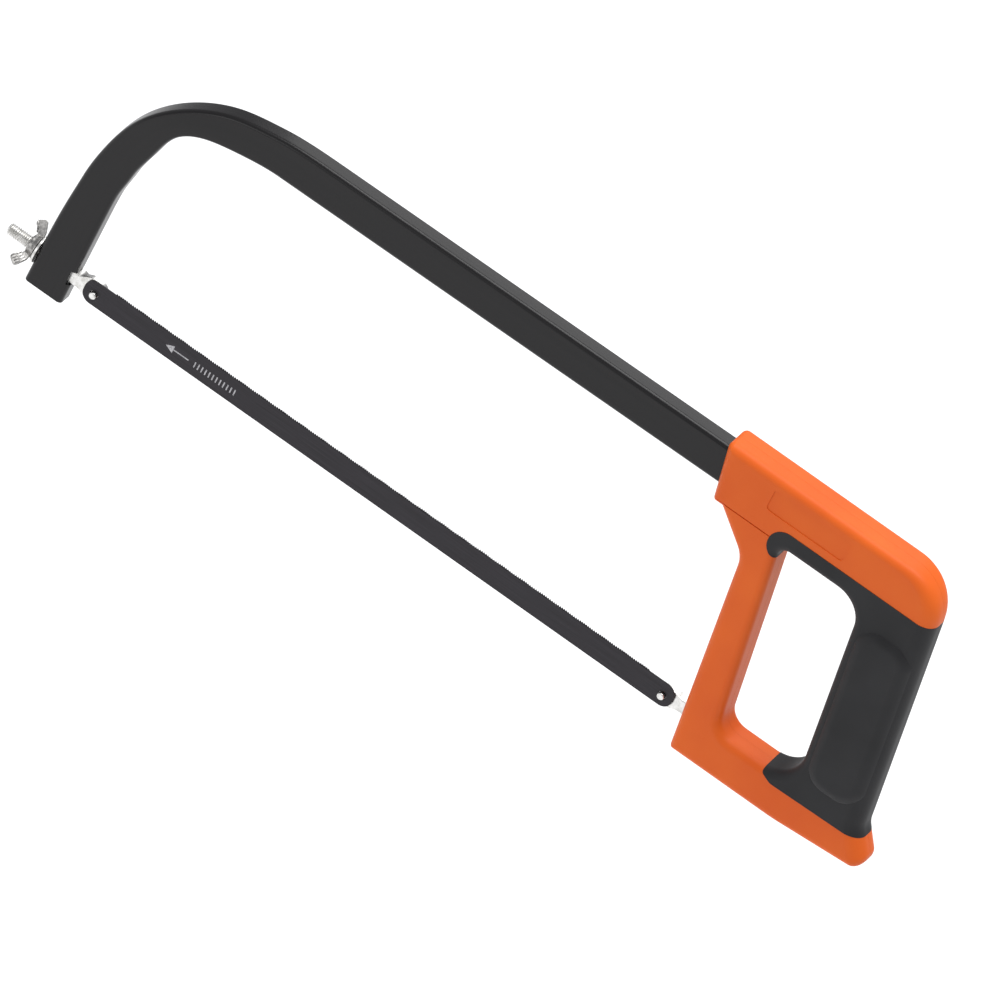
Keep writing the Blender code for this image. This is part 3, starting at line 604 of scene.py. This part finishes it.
def tongue_station(along, root, widest, nose_from, nose, top, bottom):
    """Station of a tongue that widens from its shank and ends in a round nose."""
    spread = ease(along, root, widest)
    upper = SHANK_AXIS_UP + SHANK_HALF + (top - SHANK_AXIS_UP - SHANK_HALF) * spread
    lower = SHANK_AXIS_UP - SHANK_HALF + (bottom - SHANK_AXIS_UP + SHANK_HALF) * spread
    past = max((along - nose_from) / (nose - nose_from), 0.0)
    drop = (top - bottom) * 0.42 * (1 - math.sqrt(max(1 - past * past, 0.0)))
    thin = ease(along, root - 0.5, root + 3.2)
    near = -SHANK_HALF + (TONGUE_NEAR + SHANK_HALF) * thin
    far = SHANK_HALF + (TONGUE_FAR - SHANK_HALF) * thin
    return along, lower + drop, upper - drop, near, far, 0.45


alongs = [-24.0, -23.6, -12.0] + [-9.5 + 0.5 * k for k in range(20)]
alongs += [0.1 + 4.5 * math.sin(math.radians(9 * k)) for k in range(1, 10)]
front_holder = forged("front_holder_forging",
                      [tongue_station(a, -9.3, -3.2, 0.1, 4.62, 6.3, -4.8) for a in alongs], zinc)
# The thread is one continuous helix: each ring's radius rises and falls with its angle.
SIDES = 40
STEPS_A_TURN = 12
work = bmesh.new()
rings = []
for row in range(int(25.0 / THREAD_PITCH * STEPS_A_TURN) + 1):
    distance = row * THREAD_PITCH / STEPS_A_TURN
    ring = []
    for k in range(SIDES):
        phase = (distance / THREAD_PITCH - k / SIDES) % 1.0
        flank = min(max(abs(phase - 0.5) * 2.6 - 0.15, 0.0), 1.0)
        radius = ROD_RADIUS - THREAD_DEPTH * flank
        radius = min(radius, ROD_RADIUS - 0.9 + distance)
        angle = 2 * math.pi * k / SIDES
        ring.append(work.verts.new(at(ROD_TIP_ALONG + distance,
                                      SHANK_AXIS_UP + radius * math.sin(angle),
                                      radius * math.cos(angle))))
    rings.append(ring)
for ring, following in zip(rings, rings[1:]):
    for k in range(SIDES):
        work.faces.new((ring[k - 1], ring[k], following[k], following[k - 1]))
work.faces.new(rings[0])
work.faces.new(rings[-1])
thread = make_piece("rolled_thread", work, zinc)
shade(thread, 80)
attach(thread, "front_tongue")
shade(front_holder, 45)
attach(front_holder, "front_tongue")
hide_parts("front_holder")

# Both blade pins are alike. A pin's profile runs from its domed near end to its riveted head.
PIN_PROFILE = [(0, 0), (1.15, 0.02), (1.45, 0.12), (1.65, 0.32), (1.75, 0.6),
               (1.75, -PIN_NEAR + TONGUE_FAR + 0.05), (2.8, -PIN_NEAR + TONGUE_FAR + 0.1),
               (2.8, -PIN_NEAR + TONGUE_FAR + 0.5), (2.4, -PIN_NEAR + TONGUE_FAR + 0.95),
               (1.5, -PIN_NEAR + TONGUE_FAR + 1.1), (0, -PIN_NEAR + TONGUE_FAR + 1.1)]
for name, along, body in (("front_blade_pin", 0.0, "front_tongue"),
                          ("rear_blade_pin", 300.0, "rear_tongue")):
    pin = turned(name.replace("blade_pin", "riveted_pin"), PIN_PROFILE, at(along, 0, PIN_NEAR),
                 (0, 1, 0), zinc, segments=48)
    shade(pin)
    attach(pin, body)
    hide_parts(name)

# ---------------------------------------------------------------------------------------
# Rear holder: the same tongue on a square neck, which goes through a window in the front
# post. Its head bears on the steel strap inside.
neck_end = (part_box("rear_holder")[1][0] / MM) - pin_along
head_start = neck_end - 2.2
REAR_PIN = 300.0
stations = []
for along in [REAR_PIN - 5.5 + 4.0 * (1 - math.cos(math.radians(10 * k))) for k in range(10)]:
    past = (REAR_PIN - 1.5 - along) / 4.02
    drop = 9.0 * 0.42 * (1 - math.sqrt(max(1 - past * past, 0.0)))
    stations.append((along, -4.4 + drop, 4.6 - drop, TONGUE_NEAR, TONGUE_FAR, 0.45))
for k in range(1, 17):
    along = REAR_PIN - 1.5 + 0.75 * k
    thin = ease(along, REAR_PIN + 4.0, REAR_PIN + 9.0)
    stations.append((along, -4.4 + (SHANK_AXIS_UP - SHANK_HALF + 4.4) * thin,
                     4.6 + (SHANK_AXIS_UP + SHANK_HALF - 4.6) * thin,
                     TONGUE_NEAR + (-SHANK_HALF - TONGUE_NEAR) * thin,
                     TONGUE_FAR + (SHANK_HALF - TONGUE_FAR) * thin, 0.45))
square = (SHANK_AXIS_UP - SHANK_HALF, SHANK_AXIS_UP + SHANK_HALF, -SHANK_HALF, SHANK_HALF)
stations.append((head_start, *square, 0.45))
for along, size in ((head_start + 0.02, 3.9), (head_start + 0.4, 4.3), (neck_end - 0.4, 4.3),
                    (neck_end, 3.9)):
    stations.append((along, SHANK_AXIS_UP - size, SHANK_AXIS_UP + size, -size, size, 0.5))
rear_holder = forged("rear_holder_forging", stations, zinc)
shade(rear_holder, 45)
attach(rear_holder, "rear_tongue")
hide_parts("rear_holder")

# ---------------------------------------------------------------------------------------
# Blade: hardened steel strip, lacquered dark, with milled teeth set in a gentle wave so
# that the cut clears the blade. A small arrow and a row of ticks are printed on its side.
BLADE_WIDTH = 12.7
BLADE_THICKNESS = 0.65
BLADE_NEAR = -3.35
BLADE_END = 5.3
BLADE_TOP = 1.15 + BLADE_WIDTH / 2
BLADE_BOTTOM = BLADE_TOP - BLADE_WIDTH
TOOTH_PITCH = 25.4 / 24
TOOTH_DEPTH = 0.75
TOOTHED_FROM = 9.0
TOOTH_COUNT = 266
TOOTH_SET = 0.14

# Lacquered strip: a dark smoky varnish over ground steel. The grinding shows through as
# fine lines along the blade, and the sheen is low.
lacquer, tree, shader = start_material("lacquered_strip_steel", Metallic=0.3, Roughness=0.42,
                                       Specular_IOR_Level=0.3)
solid = add_node(tree, "ShaderNodeTexCoord")
lengthwise = add_node(tree, "ShaderNodeMapping", {"Vector": solid.outputs["Object"],
                                                  "Scale": (1 / 0.025, 1.0, 1 / 0.00035)})
grinding = add_node(tree, "ShaderNodeTexNoise", {"Vector": lengthwise.outputs["Vector"],
                                                 "Scale": 1.0, "Detail": 4.0})
smoke = add_node(tree, "ShaderNodeValToRGB", {"Fac": grinding.outputs["Fac"]})
smoke.color_ramp.elements[0].color = linear("#262427")
smoke.color_ramp.elements[0].position = 0.3
smoke.color_ramp.elements[1].color = linear("#363338")
smoke.color_ramp.elements[1].position = 0.75
tree.links.new(smoke.outputs["Color"], shader.inputs["Base Color"])
bump = add_node(tree, "ShaderNodeBump", {"Height": grinding.outputs["Fac"], "Strength": 0.08,
                                         "Distance": 0.00004})
tree.links.new(bump.outputs["Normal"], shader.inputs["Normal"])


def slab(name, loops, near, far, material, lip=0.0):
    """A flat piece between two distances across the saw, its later loops being holes."""
    work = bmesh.new()
    depths = [near, near + lip, far - lip, far] if lip else [near, far]
    rims = ([], [])
    for loop in loops:
        rings = []
        for depth in depths:
            pull = lip if lip and depth in (near, far) else 0.0
            rings.append([])
            for k, point in enumerate(loop):
                run = loop[(k + 1) % len(loop)] - loop[k - 1]
                out = Vector((run.y, -run.x)).normalized()
                moved = point - out * pull
                rings[-1].append(work.verts.new(at(moved.x, moved.y, depth)))
        for ring, following in zip(rings, rings[1:]):
            for k in range(len(ring)):
                work.faces.new((ring[k - 1], ring[k], following[k], following[k - 1]))
        for rim, ring in zip(rims, (rings[0], rings[-1])):
            rim += [work.edges.get((ring[k - 1], ring[k])) for k in range(len(ring))]
    for rim in rims:
        bmesh.ops.triangle_fill(work, use_beauty=True, edges=rim)
    return make_piece(name, work, material)


def circle(along, up, radius, count=40):
    """Points of a circle."""
    return [Vector((along + radius * math.cos(2 * math.pi * k / count),
                    up + radius * math.sin(2 * math.pi * k / count))) for k in range(count)]


root_up = BLADE_TOP - TOOTH_DEPTH
strip = rounded([(-BLADE_END, root_up, 5), (-BLADE_END, BLADE_BOTTOM, 5),
                 (300 + BLADE_END, BLADE_BOTTOM, 5), (300 + BLADE_END, root_up, 5)])
blade = slab("saw_blade", [strip, circle(0, 0, 2.1), circle(300, 0, 2.1)], BLADE_NEAR,
             BLADE_NEAR + BLADE_THICKNESS, lacquer, lip=0.05)
tooth = slab("tooth", [[Vector((0, -0.35)), Vector((TOOTH_PITCH * 0.98, -0.35)),
                        Vector((TOOTH_PITCH * 0.98, 0.02)),
                        Vector((TOOTH_PITCH * 0.55, TOOTH_DEPTH * 0.32)),
                        Vector((TOOTH_PITCH * 0.10, TOOTH_DEPTH)), Vector((0, 0.05))]],
             BLADE_NEAR + 0.02, BLADE_NEAR + BLADE_THICKNESS - 0.02, lacquer)
tooth.data.transform(Matrix.Translation(-at(0, 0)))
add_row(blade, tooth, TOOTH_COUNT, at(TOOTHED_FROM, root_up), (TOOTH_PITCH * MM, 0, 0), lacquer,
        wave=(0, TOOTH_SET * MM, 0), copies_in_wave=10.0)
shade(blade)
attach(blade, "blade")
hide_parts("blade")

# The print: screen ink, pale grey and slightly chalky, a fraction of a hair thick.
ink, tree, shader = start_material("screen_printed_ink", Roughness=0.6)
solid = add_node(tree, "ShaderNodeTexCoord")
speckle = add_node(tree, "ShaderNodeTexNoise", {"Vector": solid.outputs["Object"],
                                                "Scale": 1 / (0.4 * MM), "Detail": 3.0})
chalk = add_node(tree, "ShaderNodeValToRGB", {"Fac": speckle.outputs["Fac"]})
chalk.color_ramp.elements[0].color = linear("#8E8C90")
chalk.color_ramp.elements[0].position = 0.35
chalk.color_ramp.elements[1].color = linear("#C4C3C6")
chalk.color_ramp.elements[1].position = 0.6
tree.links.new(chalk.outputs["Color"], shader.inputs["Base Color"])
INK = 0.03
ink_near = BLADE_NEAR - INK
arrow = [Vector(p) for p in ((38, 0.6), (42, -1.4), (42, 0.3), (50, 0.3), (50, 0.9), (42, 0.9),
                             (42, 2.6))]
print_marks = slab("printed_marks", [arrow], ink_near, BLADE_NEAR + 0.01, ink)
dash = slab("dash", [[Vector(p) for p in ((0, 0), (0.6, 0), (0.6, 3.0), (0, 3.0))]],
            ink_near, BLADE_NEAR + 0.01, ink)
dash.data.transform(Matrix.Translation(-at(0, 0)))
add_row(print_marks, dash, 12, at(53, -0.9), (1.9 * MM, 0, 0), ink)
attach(print_marks, "blade")

# ---------------------------------------------------------------------------------------
# Strap and rivets: a bent strip of plain steel inside the front post, riveted to the tube,
# that takes the blade's pull. They are the CAD pieces, given a mill finish.
mill, tree, shader = start_material("pressed_mill_steel", Metallic=1.0)
solid = add_node(tree, "ShaderNodeTexCoord")
rolled = add_node(tree, "ShaderNodeMapping", {"Vector": solid.outputs["Object"],
                                              "Scale": (1 / 0.0004, 1 / 0.0004, 1 / 0.02)})
scale = add_node(tree, "ShaderNodeTexNoise", {"Vector": rolled.outputs["Vector"], "Scale": 1.0,
                                              "Detail": 4.0})
oiled = add_node(tree, "ShaderNodeValToRGB", {"Fac": scale.outputs["Fac"]})
oiled.color_ramp.elements[0].color = linear("#7C7B79")
oiled.color_ramp.elements[1].color = linear("#A9A8A6")
tree.links.new(oiled.outputs["Color"], shader.inputs["Base Color"])
rough = add_node(tree, "ShaderNodeMapRange", {"Value": scale.outputs["Fac"], "To Min": 0.35,
                                              "To Max": 0.55})
tree.links.new(rough.outputs["Result"], shader.inputs["Roughness"])
for name in ("tension_strap", "strap_rivet_front", "strap_rivet_rear"):
    for material_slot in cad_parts[name].material_slots:
        material_slot.material = mill

# ---------------------------------------------------------------------------------------
# Handle shells: two halves moulded in orange ABS and screwed together round the tube and
# the strap. A fine groove sets off the block over the finger opening from the front post,
# and the left half has a blank recess for a label.
HANDLE_HALF = 9.25
SKIN = 2.0
SEAM = 0.04
HANDLE_OUTLINE = [
    (313.9, -17.2, 2.0), (368.0, -17.2, 60.0), (415.6, -13.6, 5.0), (404.2, 4.0, 12.0),
    (388.8, 134.8, 22.0), (275.0, 134.8, 2.5), (280.3, 104.4, 2.0), (285.2, 104.4, 0.5),
    (302.5, 88.2, 14.0),
]
# The rounding of each side's rim, from the base round past the rear to the front post.
HANDLE_RIMS = [4.0, 4.0, 7.5, 7.5, 4.0, 4.0, 4.0, 4.0, 4.0]
OPENING_OUTLINE = [
    (329.2, 4.0, 9.0), (369.8, 4.0, 15.0), (358.3, 104.5, 14.0), (315.6, 104.5, 5.0),
]
OPENING_RIMS = [4.0] * 4
SOFT_REGION = [
    (430.0, 1.0, 0), (430.0, 114.0, 0), (310.1, 114.0, 8.1), (310.1, 97.6, 8.1),
    (334.0, 97.6, 0), (334.0, 60.0, 0), (355.0, 60.0, 0), (355.0, 2.0, 2.0), (360.5, -0.6, 4.0),
]
GROOVE_UP = 107.3
GROOVE = 0.55
LABEL_DEPTH = 0.35
LABEL = [(303, 118, 2.0), (343, 118, 2.0), (343, 129.5, 2.0), (303, 129.5, 2.0)]

# Moulded ABS: opaque and evenly coloured, with the fine spark-eroded grain of its tool.
# It gives a broad satin sheen and softly lit edges. The real grain is under 0.1 mm, and
# is drawn several times coarser so that it shows.
abs_orange, tree, shader = start_material("moulded_orange_abs", IOR=1.53, Specular_IOR_Level=0.2)
shader.inputs["Subsurface Weight"].default_value = 0.06
shader.inputs["Subsurface Radius"].default_value = (0.9, 0.35, 0.1)
shader.inputs["Subsurface Scale"].default_value = 0.001
solid = add_node(tree, "ShaderNodeTexCoord")
flow = add_node(tree, "ShaderNodeTexNoise", {"Vector": solid.outputs["Object"],
                                             "Scale": 1 / (38 * MM), "Detail": 2.0})
sparks = add_node(tree, "ShaderNodeTexNoise", {"Vector": solid.outputs["Object"],
                                               "Scale": 1 / (0.45 * MM), "Detail": 3.0})
pigment = add_node(tree, "ShaderNodeValToRGB", {"Fac": flow.outputs["Fac"]})
pigment.color_ramp.elements[0].color = linear("#D85A1A")
pigment.color_ramp.elements[0].position = 0.3
pigment.color_ramp.elements[1].color = linear("#E2651E")
pigment.color_ramp.elements[1].position = 0.7
tree.links.new(pigment.outputs["Color"], shader.inputs["Base Color"])
satin = add_node(tree, "ShaderNodeMapRange", {"Value": sparks.outputs["Fac"], "From Min": 0.3,
                                              "From Max": 0.7, "To Min": 0.42, "To Max": 0.54})
tree.links.new(satin.outputs["Result"], shader.inputs["Roughness"])
bump = add_node(tree, "ShaderNodeBump", {"Height": sparks.outputs["Fac"], "Strength": 0.12,
                                         "Distance": 0.00008})
tree.links.new(bump.outputs["Normal"], shader.inputs["Normal"])


def moved_sides(corners, distances):
    """An anticlockwise outline with each side moved outwards by its own distance."""
    result = []
    for i, (along, up, radius) in enumerate(corners):
        here = Vector((along, up))
        into = (here - Vector(corners[i - 1][:2])).normalized()
        away = (Vector(corners[(i + 1) % len(corners)][:2]) - here).normalized()
        out_before = Vector((into.y, -into.x))
        out_after = Vector((away.y, -away.x))
        before, after = distances[i - 1], distances[i]
        agree = out_before.dot(out_after)
        if before == after:
            shift = (out_before + out_after) * after / (1 + agree)
        else:
            shift = ((out_before - out_after * agree) * before
                     + (out_after - out_before * agree) * after) / (1 - agree * agree)
        convex = into.x * away.y > into.y * away.x
        change = (before + after) / 2
        new_radius = max(radius + (change if convex else -change), 0.02)
        moved = here + shift
        result.append((moved.x, moved.y, new_radius if radius else 0))
    return result


def rim_inset(across, half, rim):
    """How far a rounded rim lies inside its outline at a distance from the mid-plane."""
    past = abs(across) - (half - rim)
    return rim - math.sqrt(max(rim * rim - past * past, 0.0)) if past > 0 else 0.0


def moulded(name, outlines, half, side, material, seam):
    """One half of a flat body with rounded rims; outlines are (corners, rims, sense)."""
    widest = max(max(rims) for _, rims, _ in outlines)
    levels = [seam, half - widest]
    levels += [half - widest + widest * math.sin(math.radians(k * 7.5)) for k in range(1, 13)]
    work = bmesh.new()
    caps = ([], [])
    for corners, rims, sense in outlines:
        rings = []
        for across in levels:
            shifts = [sense * rim_inset(across, half, rim) for rim in rims]
            rings.append([work.verts.new(at(*point, side * across))
                          for point in rounded(moved_sides(corners, shifts))])
        for ring, following in zip(rings, rings[1:]):
            for k in range(len(ring)):
                work.faces.new((ring[k - 1], ring[k], following[k], following[k - 1]))
        for cap, ring in zip(caps, (rings[0], rings[-1])):
            cap += [work.edges.get((ring[k - 1], ring[k])) for k in range(len(ring))]
    for cap in caps:
        bmesh.ops.triangle_fill(work, use_beauty=True, edges=cap)
    return make_piece(name, work, material)


def handle_half(name, half, side, material, seam):
    """One half of the handle's whole form, out to its outline and round its opening."""
    return moulded(name, [(HANDLE_OUTLINE, HANDLE_RIMS, -1), (OPENING_OUTLINE, OPENING_RIMS, 1)],
                   half, side, material, seam)


def handle_core(name, inset, half, side, material):
    """What is left of one half when a skin of even thickness is peeled off, as a cutter."""
    outer = moved_sides(HANDLE_OUTLINE, [-inset] * 9)
    inner = moved_sides(OPENING_OUTLINE, [inset] * 4)
    return moulded(name, [(outer, [rim - inset for rim in HANDLE_RIMS], -1),
                          (inner, [rim - inset for rim in OPENING_RIMS], 1)],
                   half, side, material, -1.0)


def tube_underside(along):
    """Height of the tube's lower face, which climbs slightly towards the handle."""
    return TUBE_UNDERSIDE_UP + TUBE_RISE * (along - LEG_INNER_ALONG - BEND_INNER_RADIUS)


# Rooms inside the shells: (outline, half width).
tube_room = [(265, -0.15), (372.2, -0.15), (372.2, TUBE_DEPTH + 0.15), (265, TUBE_DEPTH + 0.15)]
ROOMS = [
    ([(a, tube_underside(a) + over, 0) for a, over in tube_room], TUBE_WIDTH / 2 + 0.15),
    ([(286.5, 106.7, 0), (312, 106.7, 0), (312, 112.2, 0), (286.5, 112.2, 0)], 6.3),
    ([(315.1, -13.8, 0), (325.2, 4.5, 0), (314.8, 98.0, 0), (312.1, 106.9, 0),
      (303.6, 106.9, 0)], 6.6),
    ([(315.4, -13.8, 0), (366, -13.8, 0), (400, -11.4, 0), (400, -2.6, 0), (366, -2.6, 0),
      (336, 0.9, 0), (330.4, 0.9, 2), (329.9, 5.9, 0), (316, 5.9, 0)], 6.6),
]
WINDOW_HALF = 4.6
WELL_RADIUS = 3.3
SCREW_HOLE_RADIUS = 1.7
SCREW_PLACES = [
    # along, up, seat of the head across
    (292.0, 119.8, 6.75), (356.0, 119.8, 6.75), (380.0, 119.0, 6.75), (380.4, 60.0, 6.95),
    (388.0, -6.5, 6.75), (350.0, -6.5, 6.75),
]

for label, side in (("left", -1), ("right", 1)):
    shell = handle_half("handle_shell_moulding_" + label, HANDLE_HALF, side, abs_orange, SEAM)
    low, high = sorted((side * (HANDLE_HALF - GROOVE), side * 20))
    carve(shell, block("groove", (260, low, GROOVE_UP - GROOVE), (312, high, GROOVE_UP),
                       abs_orange))
    skin_room = slab("skin_room", [rounded(moved_sides(SOFT_REGION, [0.04] * 9))], -30, 30,
                     abs_orange)
    carve(skin_room, handle_core("skin_core", SKIN + 0.1, HANDLE_HALF - SKIN - 0.1, side,
                                 abs_orange))
    carve(shell, skin_room)
    for outline, half in ROOMS:
        carve(shell, slab("room", [rounded(outline)], -half, half, abs_orange))
    carve(shell, block("holder_window", (305, -SHANK_HALF - 0.3, SHANK_AXIS_UP - WINDOW_HALF),
                       (318, SHANK_HALF + 0.3, SHANK_AXIS_UP + WINDOW_HALF), abs_orange))
    if side < 0:
        carve(shell, slab("label_recess", [rounded(LABEL)], -12, -HANDLE_HALF + LABEL_DEPTH,
                          abs_orange))
    else:
        wells = [((a, u, seat - 0.05), (a, u, 20), WELL_RADIUS) for a, u, seat in SCREW_PLACES
                 if seat != 6.95]
        carve(shell, rods("screw_wells", wells, abs_orange, segments=48))
        holes = [((a, u, -1), (a, u, 20), SCREW_HOLE_RADIUS) for a, u, _ in SCREW_PLACES]
        carve(shell, rods("screw_holes", holes, abs_orange, segments=24))
    shade(shell, 28)
    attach(shell, "frame")
    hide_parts("handle_shell_" + label)

# ---------------------------------------------------------------------------------------
# Grips: soft black rubber moulded over each shell. It lines the opening's roof, wraps the
# grip bar with a swelling for the palm, and ends at the lower rear corner.
GRIP_PROUD = 0.2
SWELL_HALF = 11.3
SWELL_RIM = 6.5
SWELL_OUTLINE = [
    (371.0, 10.0, 12.0), (401.3, 10.0, 12.0), (391.0, 100.0, 12.0), (360.7, 100.0, 12.0),
]

# Overmoulded rubber: matte and slightly velvety, with a close eroded grain that kills
# every sharp reflection. The grain is drawn coarser than its real 0.1 mm so that it shows.
rubber, tree, shader = start_material(
    "overmoulded_soft_rubber", Roughness=0.62, IOR=1.5, Specular_IOR_Level=0.3,
    Sheen_Weight=0.06, Sheen_Roughness=0.5)
solid = add_node(tree, "ShaderNodeTexCoord")
velvet = add_node(tree, "ShaderNodeTexNoise", {"Vector": solid.outputs["Object"],
                                               "Scale": 1 / (0.5 * MM), "Detail": 3.0})
worn = add_node(tree, "ShaderNodeTexNoise", {"Vector": solid.outputs["Object"],
                                             "Scale": 1 / (25 * MM), "Detail": 2.0})
soot = add_node(tree, "ShaderNodeValToRGB", {"Fac": worn.outputs["Fac"]})
soot.color_ramp.elements[0].color = linear("#19191B")
soot.color_ramp.elements[0].position = 0.3
soot.color_ramp.elements[1].color = linear("#222224")
soot.color_ramp.elements[1].position = 0.7
tree.links.new(soot.outputs["Color"], shader.inputs["Base Color"])
bump = add_node(tree, "ShaderNodeBump", {"Height": velvet.outputs["Fac"], "Strength": 0.2,
                                         "Distance": 0.0001})
tree.links.new(bump.outputs["Normal"], shader.inputs["Normal"])

for label, side in (("left", -1), ("right", 1)):
    grip = handle_half("grip_overmould_" + label, HANDLE_HALF + GRIP_PROUD, side, rubber, 0.0)
    swell = moulded("palm_swell", [(SWELL_OUTLINE, [SWELL_RIM] * 4, -1)], SWELL_HALF, side,
                    rubber, 0.0)
    carve(grip, swell, "UNION")
    carve(grip, slab("soft_region", [rounded(SOFT_REGION)], -30, 30, rubber), "INTERSECT")
    carve(grip, handle_core("grip_core", SKIN, HANDLE_HALF - SKIN, side, rubber))
    if side > 0:
        carve(grip, rods("screw_access", [((380.4, 60.0, 1), (380.4, 60.0, 20), 3.6)], rubber,
                         segments=48))
    shade(grip, 28)
    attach(grip, "frame")
    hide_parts("grip_" + label)

# ---------------------------------------------------------------------------------------
# Handle screws: zinc-plated pan-head screws with a cross recess, driven from the right
# into bosses of the left shell. Only their heads show, down their wells.
screw = turned("screw", [(0, 1.9), (1.2, 1.88), (2.1, 1.7), (2.7, 1.25), (3.0, 0.7), (3.0, 0.0),
                         (1.5, 0.0), (1.5, -8.0), (0.8, -9.2), (0, -9.2)],
               Vector((0, 0, 0)), (0, 1, 0), zinc, segments=48)
for turn in (0, math.pi / 2):
    work = bmesh.new()
    bmesh.ops.create_cube(work, size=1.0)
    for vert in work.verts:
        taper = 0.55 if vert.co.y < 0 else 1.0
        vert.co = Vector((vert.co.x * 3.4 * taper, 1.3 + vert.co.y * 1.8, vert.co.z * 0.75)) * MM
    recess = make_piece("recess", work, zinc)
    recess.data.transform(Matrix.Rotation(turn, 4, "Y"))
    carve(screw, recess)

places = bpy.data.meshes.new("handle_screws")
places.from_pydata([at(along, up, seat + 0.02) for along, up, seat in SCREW_PLACES], [], [])
screws = bpy.data.objects.new("handle_screws", places)
bpy.context.scene.collection.objects.link(screws)
tree = bpy.data.node_groups.new("one_at_each_place", "GeometryNodeTree")
for name, kind in (("Geometry", "Geometry"), ("Item", "Object"), ("Material", "Material")):
    tree.interface.new_socket(name, in_out="INPUT", socket_type="NodeSocket" + kind)
tree.interface.new_socket("Geometry", in_out="OUTPUT", socket_type="NodeSocketGeometry")
given = add_node(tree, "NodeGroupInput").outputs
item = add_node(tree, "GeometryNodeObjectInfo", {"Object": given["Item"]})
# Each head stands at its own angle. The float sockets are the fourth input and second output.
turned_by = add_node(tree, "FunctionNodeRandomValue", {"Seed": 7}, data_type="FLOAT")
turned_by.inputs[3].default_value = 3.1
angle = add_node(tree, "ShaderNodeCombineXYZ", {"Y": turned_by.outputs[1]})
copies = add_node(tree, "GeometryNodeInstanceOnPoints",
                  {"Points": given["Geometry"], "Instance": item.outputs["Geometry"],
                   "Rotation": angle.outputs[0]})
real = add_node(tree, "GeometryNodeRealizeInstances", {"Geometry": copies.outputs["Instances"]})
painted = add_node(tree, "GeometryNodeSetMaterial", {"Geometry": real.outputs["Geometry"],
                                                     "Material": given["Material"]})
add_node(tree, "NodeGroupOutput", {"Geometry": painted.outputs["Geometry"]})
fill = screws.modifiers.new("screws", "NODES")
fill.node_group = tree
for socket in tree.interface.items_tree:
    if socket.in_out == "INPUT" and socket.name == "Item":
        fill[socket.identifier] = screw
    elif socket.in_out == "INPUT" and socket.name == "Material":
        fill[socket.identifier] = zinc
settle(screws)
bpy.data.objects.remove(screw)
shade(screws)
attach(screws, "frame")
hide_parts(*[f"handle_screw_{k}" for k in range(1, 7)])
